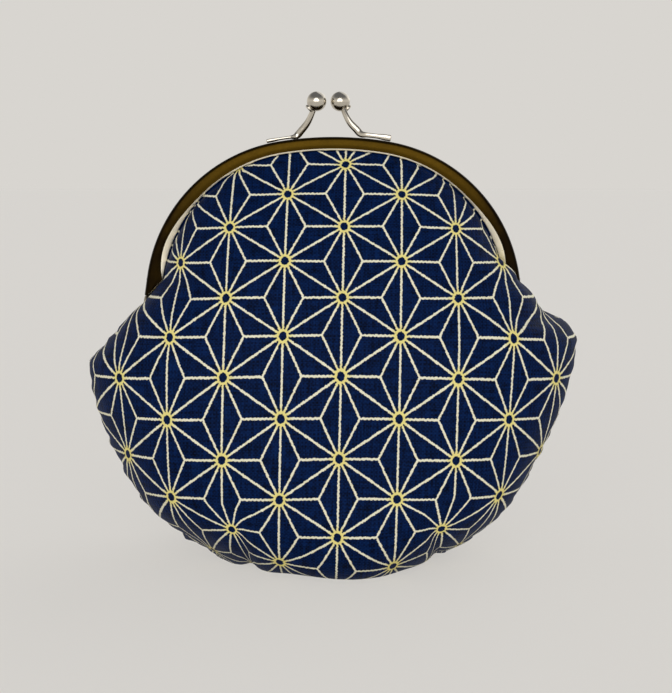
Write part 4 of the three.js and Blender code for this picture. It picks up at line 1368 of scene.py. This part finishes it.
def paper_string_shell(form, facing):
    """Two-lobed section that turns as it runs along the arch inside the channel."""
    cloth, metal = form.cloth, form.metal
    radius = cloth.paper_string / 2
    inside = metal.channel_wall + cloth.layer_gap + radius
    depth = form.slot_face - form.lining_end - cloth.layer_gap - radius
    end_z = form.hinge + metal.string_end
    edge = form.outer_arch.path(end_z, STRING_COUNT)
    inward = unit(form.lip_arch.path(end_z, STRING_COUNT) - edge)
    twist = running_length(edge) * 2 * math.pi / STRING_TWIST
    around = full_turn(STRING_SIDES)
    waves = np.cos(2 * (around[None] - twist[:, None]))
    lobes = radius * (1 - STRING_LOBES + STRING_LOBES * waves)
    distance = inside + lobes * np.sin(around)
    spot = edge[:, None] + inward[:, None] * distance[..., None]
    return swept(np.stack([spot[..., 0], facing * (depth + lobes * np.cos(around)), spot[..., 1]], axis=-1))


class PURSE_OT_paper_strings(bpy.types.Operator):
    """Makes the twisted paper strings that wedge the cloth in the channels"""

    bl_idname = "purse.paper_strings"
    bl_label = "Paper strings"

    def execute(self, context):
        form = PurseForm(context.scene)
        material = kraft_paper(context.scene.purse_print)
        for half, facing in HALVES.items():
            piece = make_piece(f"{half}_string", [paper_string_shell(form, facing)], material)
            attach(piece, f"{half}_half")
            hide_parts(f"{half}_paper_string")
        return {"FINISHED"}


LAMP_SPREAD = math.radians(60)
KEY_FROM = (-0.05, -1, 0.14)
FILL_FROM = (0.6, 0.8, 0.7)
CEILING_LOW, CEILING_HIGH = 0.05, 0.8  # rise of the look where the room turns into its ceiling
BOARD_ROUGHNESS = 0.9


def add_sun(name, strength, direction):
    """Soft lamp far away that shines from one direction towards the purse."""
    lamp = bpy.data.lights.new(name, "SUN")
    lamp.energy = strength
    lamp.angle = LAMP_SPREAD
    holder = add_to_scene(name, lamp)
    holder.rotation_euler = (-Vector(direction)).to_track_quat("-Z", "Y").to_euler()


def pale_board(stage):
    """Matt floor. The camera and reflections see it paler than the lamps make it, and its shadow stays."""
    material, tree, shader = new_material("matt_pale_board")
    fill(tree, shader, {"Base Color": linear(stage.floor), "Roughness": BOARD_ROUGHNESS})
    seen = add_node(tree, "LightPath", {}).outputs
    direct = maths(tree, "MAXIMUM", seen["Is Camera Ray"], seen["Is Glossy Ray"])
    direct = maths(tree, "MAXIMUM", direct, seen["Is Transmission Ray"])
    lift = maths(tree, "MULTIPLY", direct, stage.floor_lift)
    pale = add_node(tree, "Emission", {"Color": linear(stage.room)})
    board = add_node(tree, "MixShader", {0: lift, 1: shader, 2: pale})
    fill(tree, tree.nodes["Material Output"], {"Surface": board})
    return material


def pale_room(stage):
    """Pale walls under a darker ceiling. The camera sees a plain backdrop instead."""
    world = bpy.data.worlds.new("pale_room")
    world.use_nodes = True
    tree = world.node_tree
    direction = add_node(tree, "SeparateXYZ", {0: add_node(tree, "TexCoord", {})})
    look = direction.outputs["Z"]
    height = ranged(tree, look, CEILING_LOW, CEILING_HIGH, interpolation_type="SMOOTHSTEP")
    shade = mixed(tree, height, stage.room, stage.ceiling)
    seen = add_node(tree, "LightPath", {}).outputs["Is Camera Ray"]
    fill(tree, tree.nodes["Background"], {"Color": mixed(tree, seen, shade, stage.backdrop)})
    return world


class PURSE_OT_stage(bpy.types.Operator):
    """Sets the floor, the room, the soft lamps and the camera"""

    bl_idname = "purse.stage"
    bl_label = "Stage"

    def execute(self, context):
        scene = context.scene
        stage = scene.purse_stage
        reach = stage.floor_size
        mesh = bpy.data.meshes.new("floor")
        corners = [(-reach, -reach, 0), (reach, -reach, 0), (reach, reach, 0), (-reach, reach, 0)]
        mesh.from_pydata(corners, [], [(0, 1, 2, 3)])
        mesh.materials.append(pale_board(stage))
        floor = add_to_scene("floor", mesh)

        scene.world = pale_room(stage)
        add_sun("key_lamp", stage.key, KEY_FROM)
        add_sun("fill_lamp", stage.fill, FILL_FROM)

        camera = bpy.data.cameras.new("camera")
        camera.sensor_fit = "HORIZONTAL"
        camera.lens = camera.sensor_width * stage.focal / PICTURE_WIDTH
        camera.clip_start = 10 * MM
        holder = add_to_scene("camera", camera)
        holder.location = (stage.across, -stage.distance, stage.height)
        holder.rotation_euler = (math.pi / 2 - stage.pitch, 0, 0)
        scene.camera = holder
        scene.view_settings.view_transform = "Standard"
        return {"FINISHED"}


class PURSE_PT_panel(bpy.types.Panel):
    """Lists the steps that build the purse"""

    bl_idname = "PURSE_PT_panel"
    bl_label = "Kiss-lock purse"
    bl_space_type = "VIEW_3D"
    bl_region_type = "UI"
    bl_category = "Purse"

    def draw(self, context):
        for step in STEPS:
            self.layout.operator(step.bl_idname)


SETTINGS = {
    "purse_metal": PurseMetal,
    "purse_cloth": PurseCloth,
    "purse_print": PursePrint,
    "purse_stage": PurseStage,
}
STEPS = (
    PURSE_OT_stage,
    PURSE_OT_cloth,
    PURSE_OT_lining,
    PURSE_OT_frame_halves,
    PURSE_OT_rivets,
    PURSE_OT_clasp,
    PURSE_OT_paper_strings,
)
CLASSES = (*SETTINGS.values(), *STEPS, PURSE_PT_panel)


def register():
    for one in CLASSES:
        bpy.utils.register_class(one)
    for name, group in SETTINGS.items():
        setattr(bpy.types.Scene, name, PointerProperty(type=group))


def unregister():
    for name in SETTINGS:
        delattr(bpy.types.Scene, name)
    for one in reversed(CLASSES):
        bpy.utils.unregister_class(one)


def main():
    register()
    bpy.ops.purse.stage()
    bpy.ops.purse.cloth()
    bpy.ops.purse.lining()
    bpy.ops.purse.frame_halves()
    bpy.ops.purse.rivets()
    bpy.ops.purse.clasp()
    bpy.ops.purse.paper_strings()


if __name__ == "__main__":
    main()
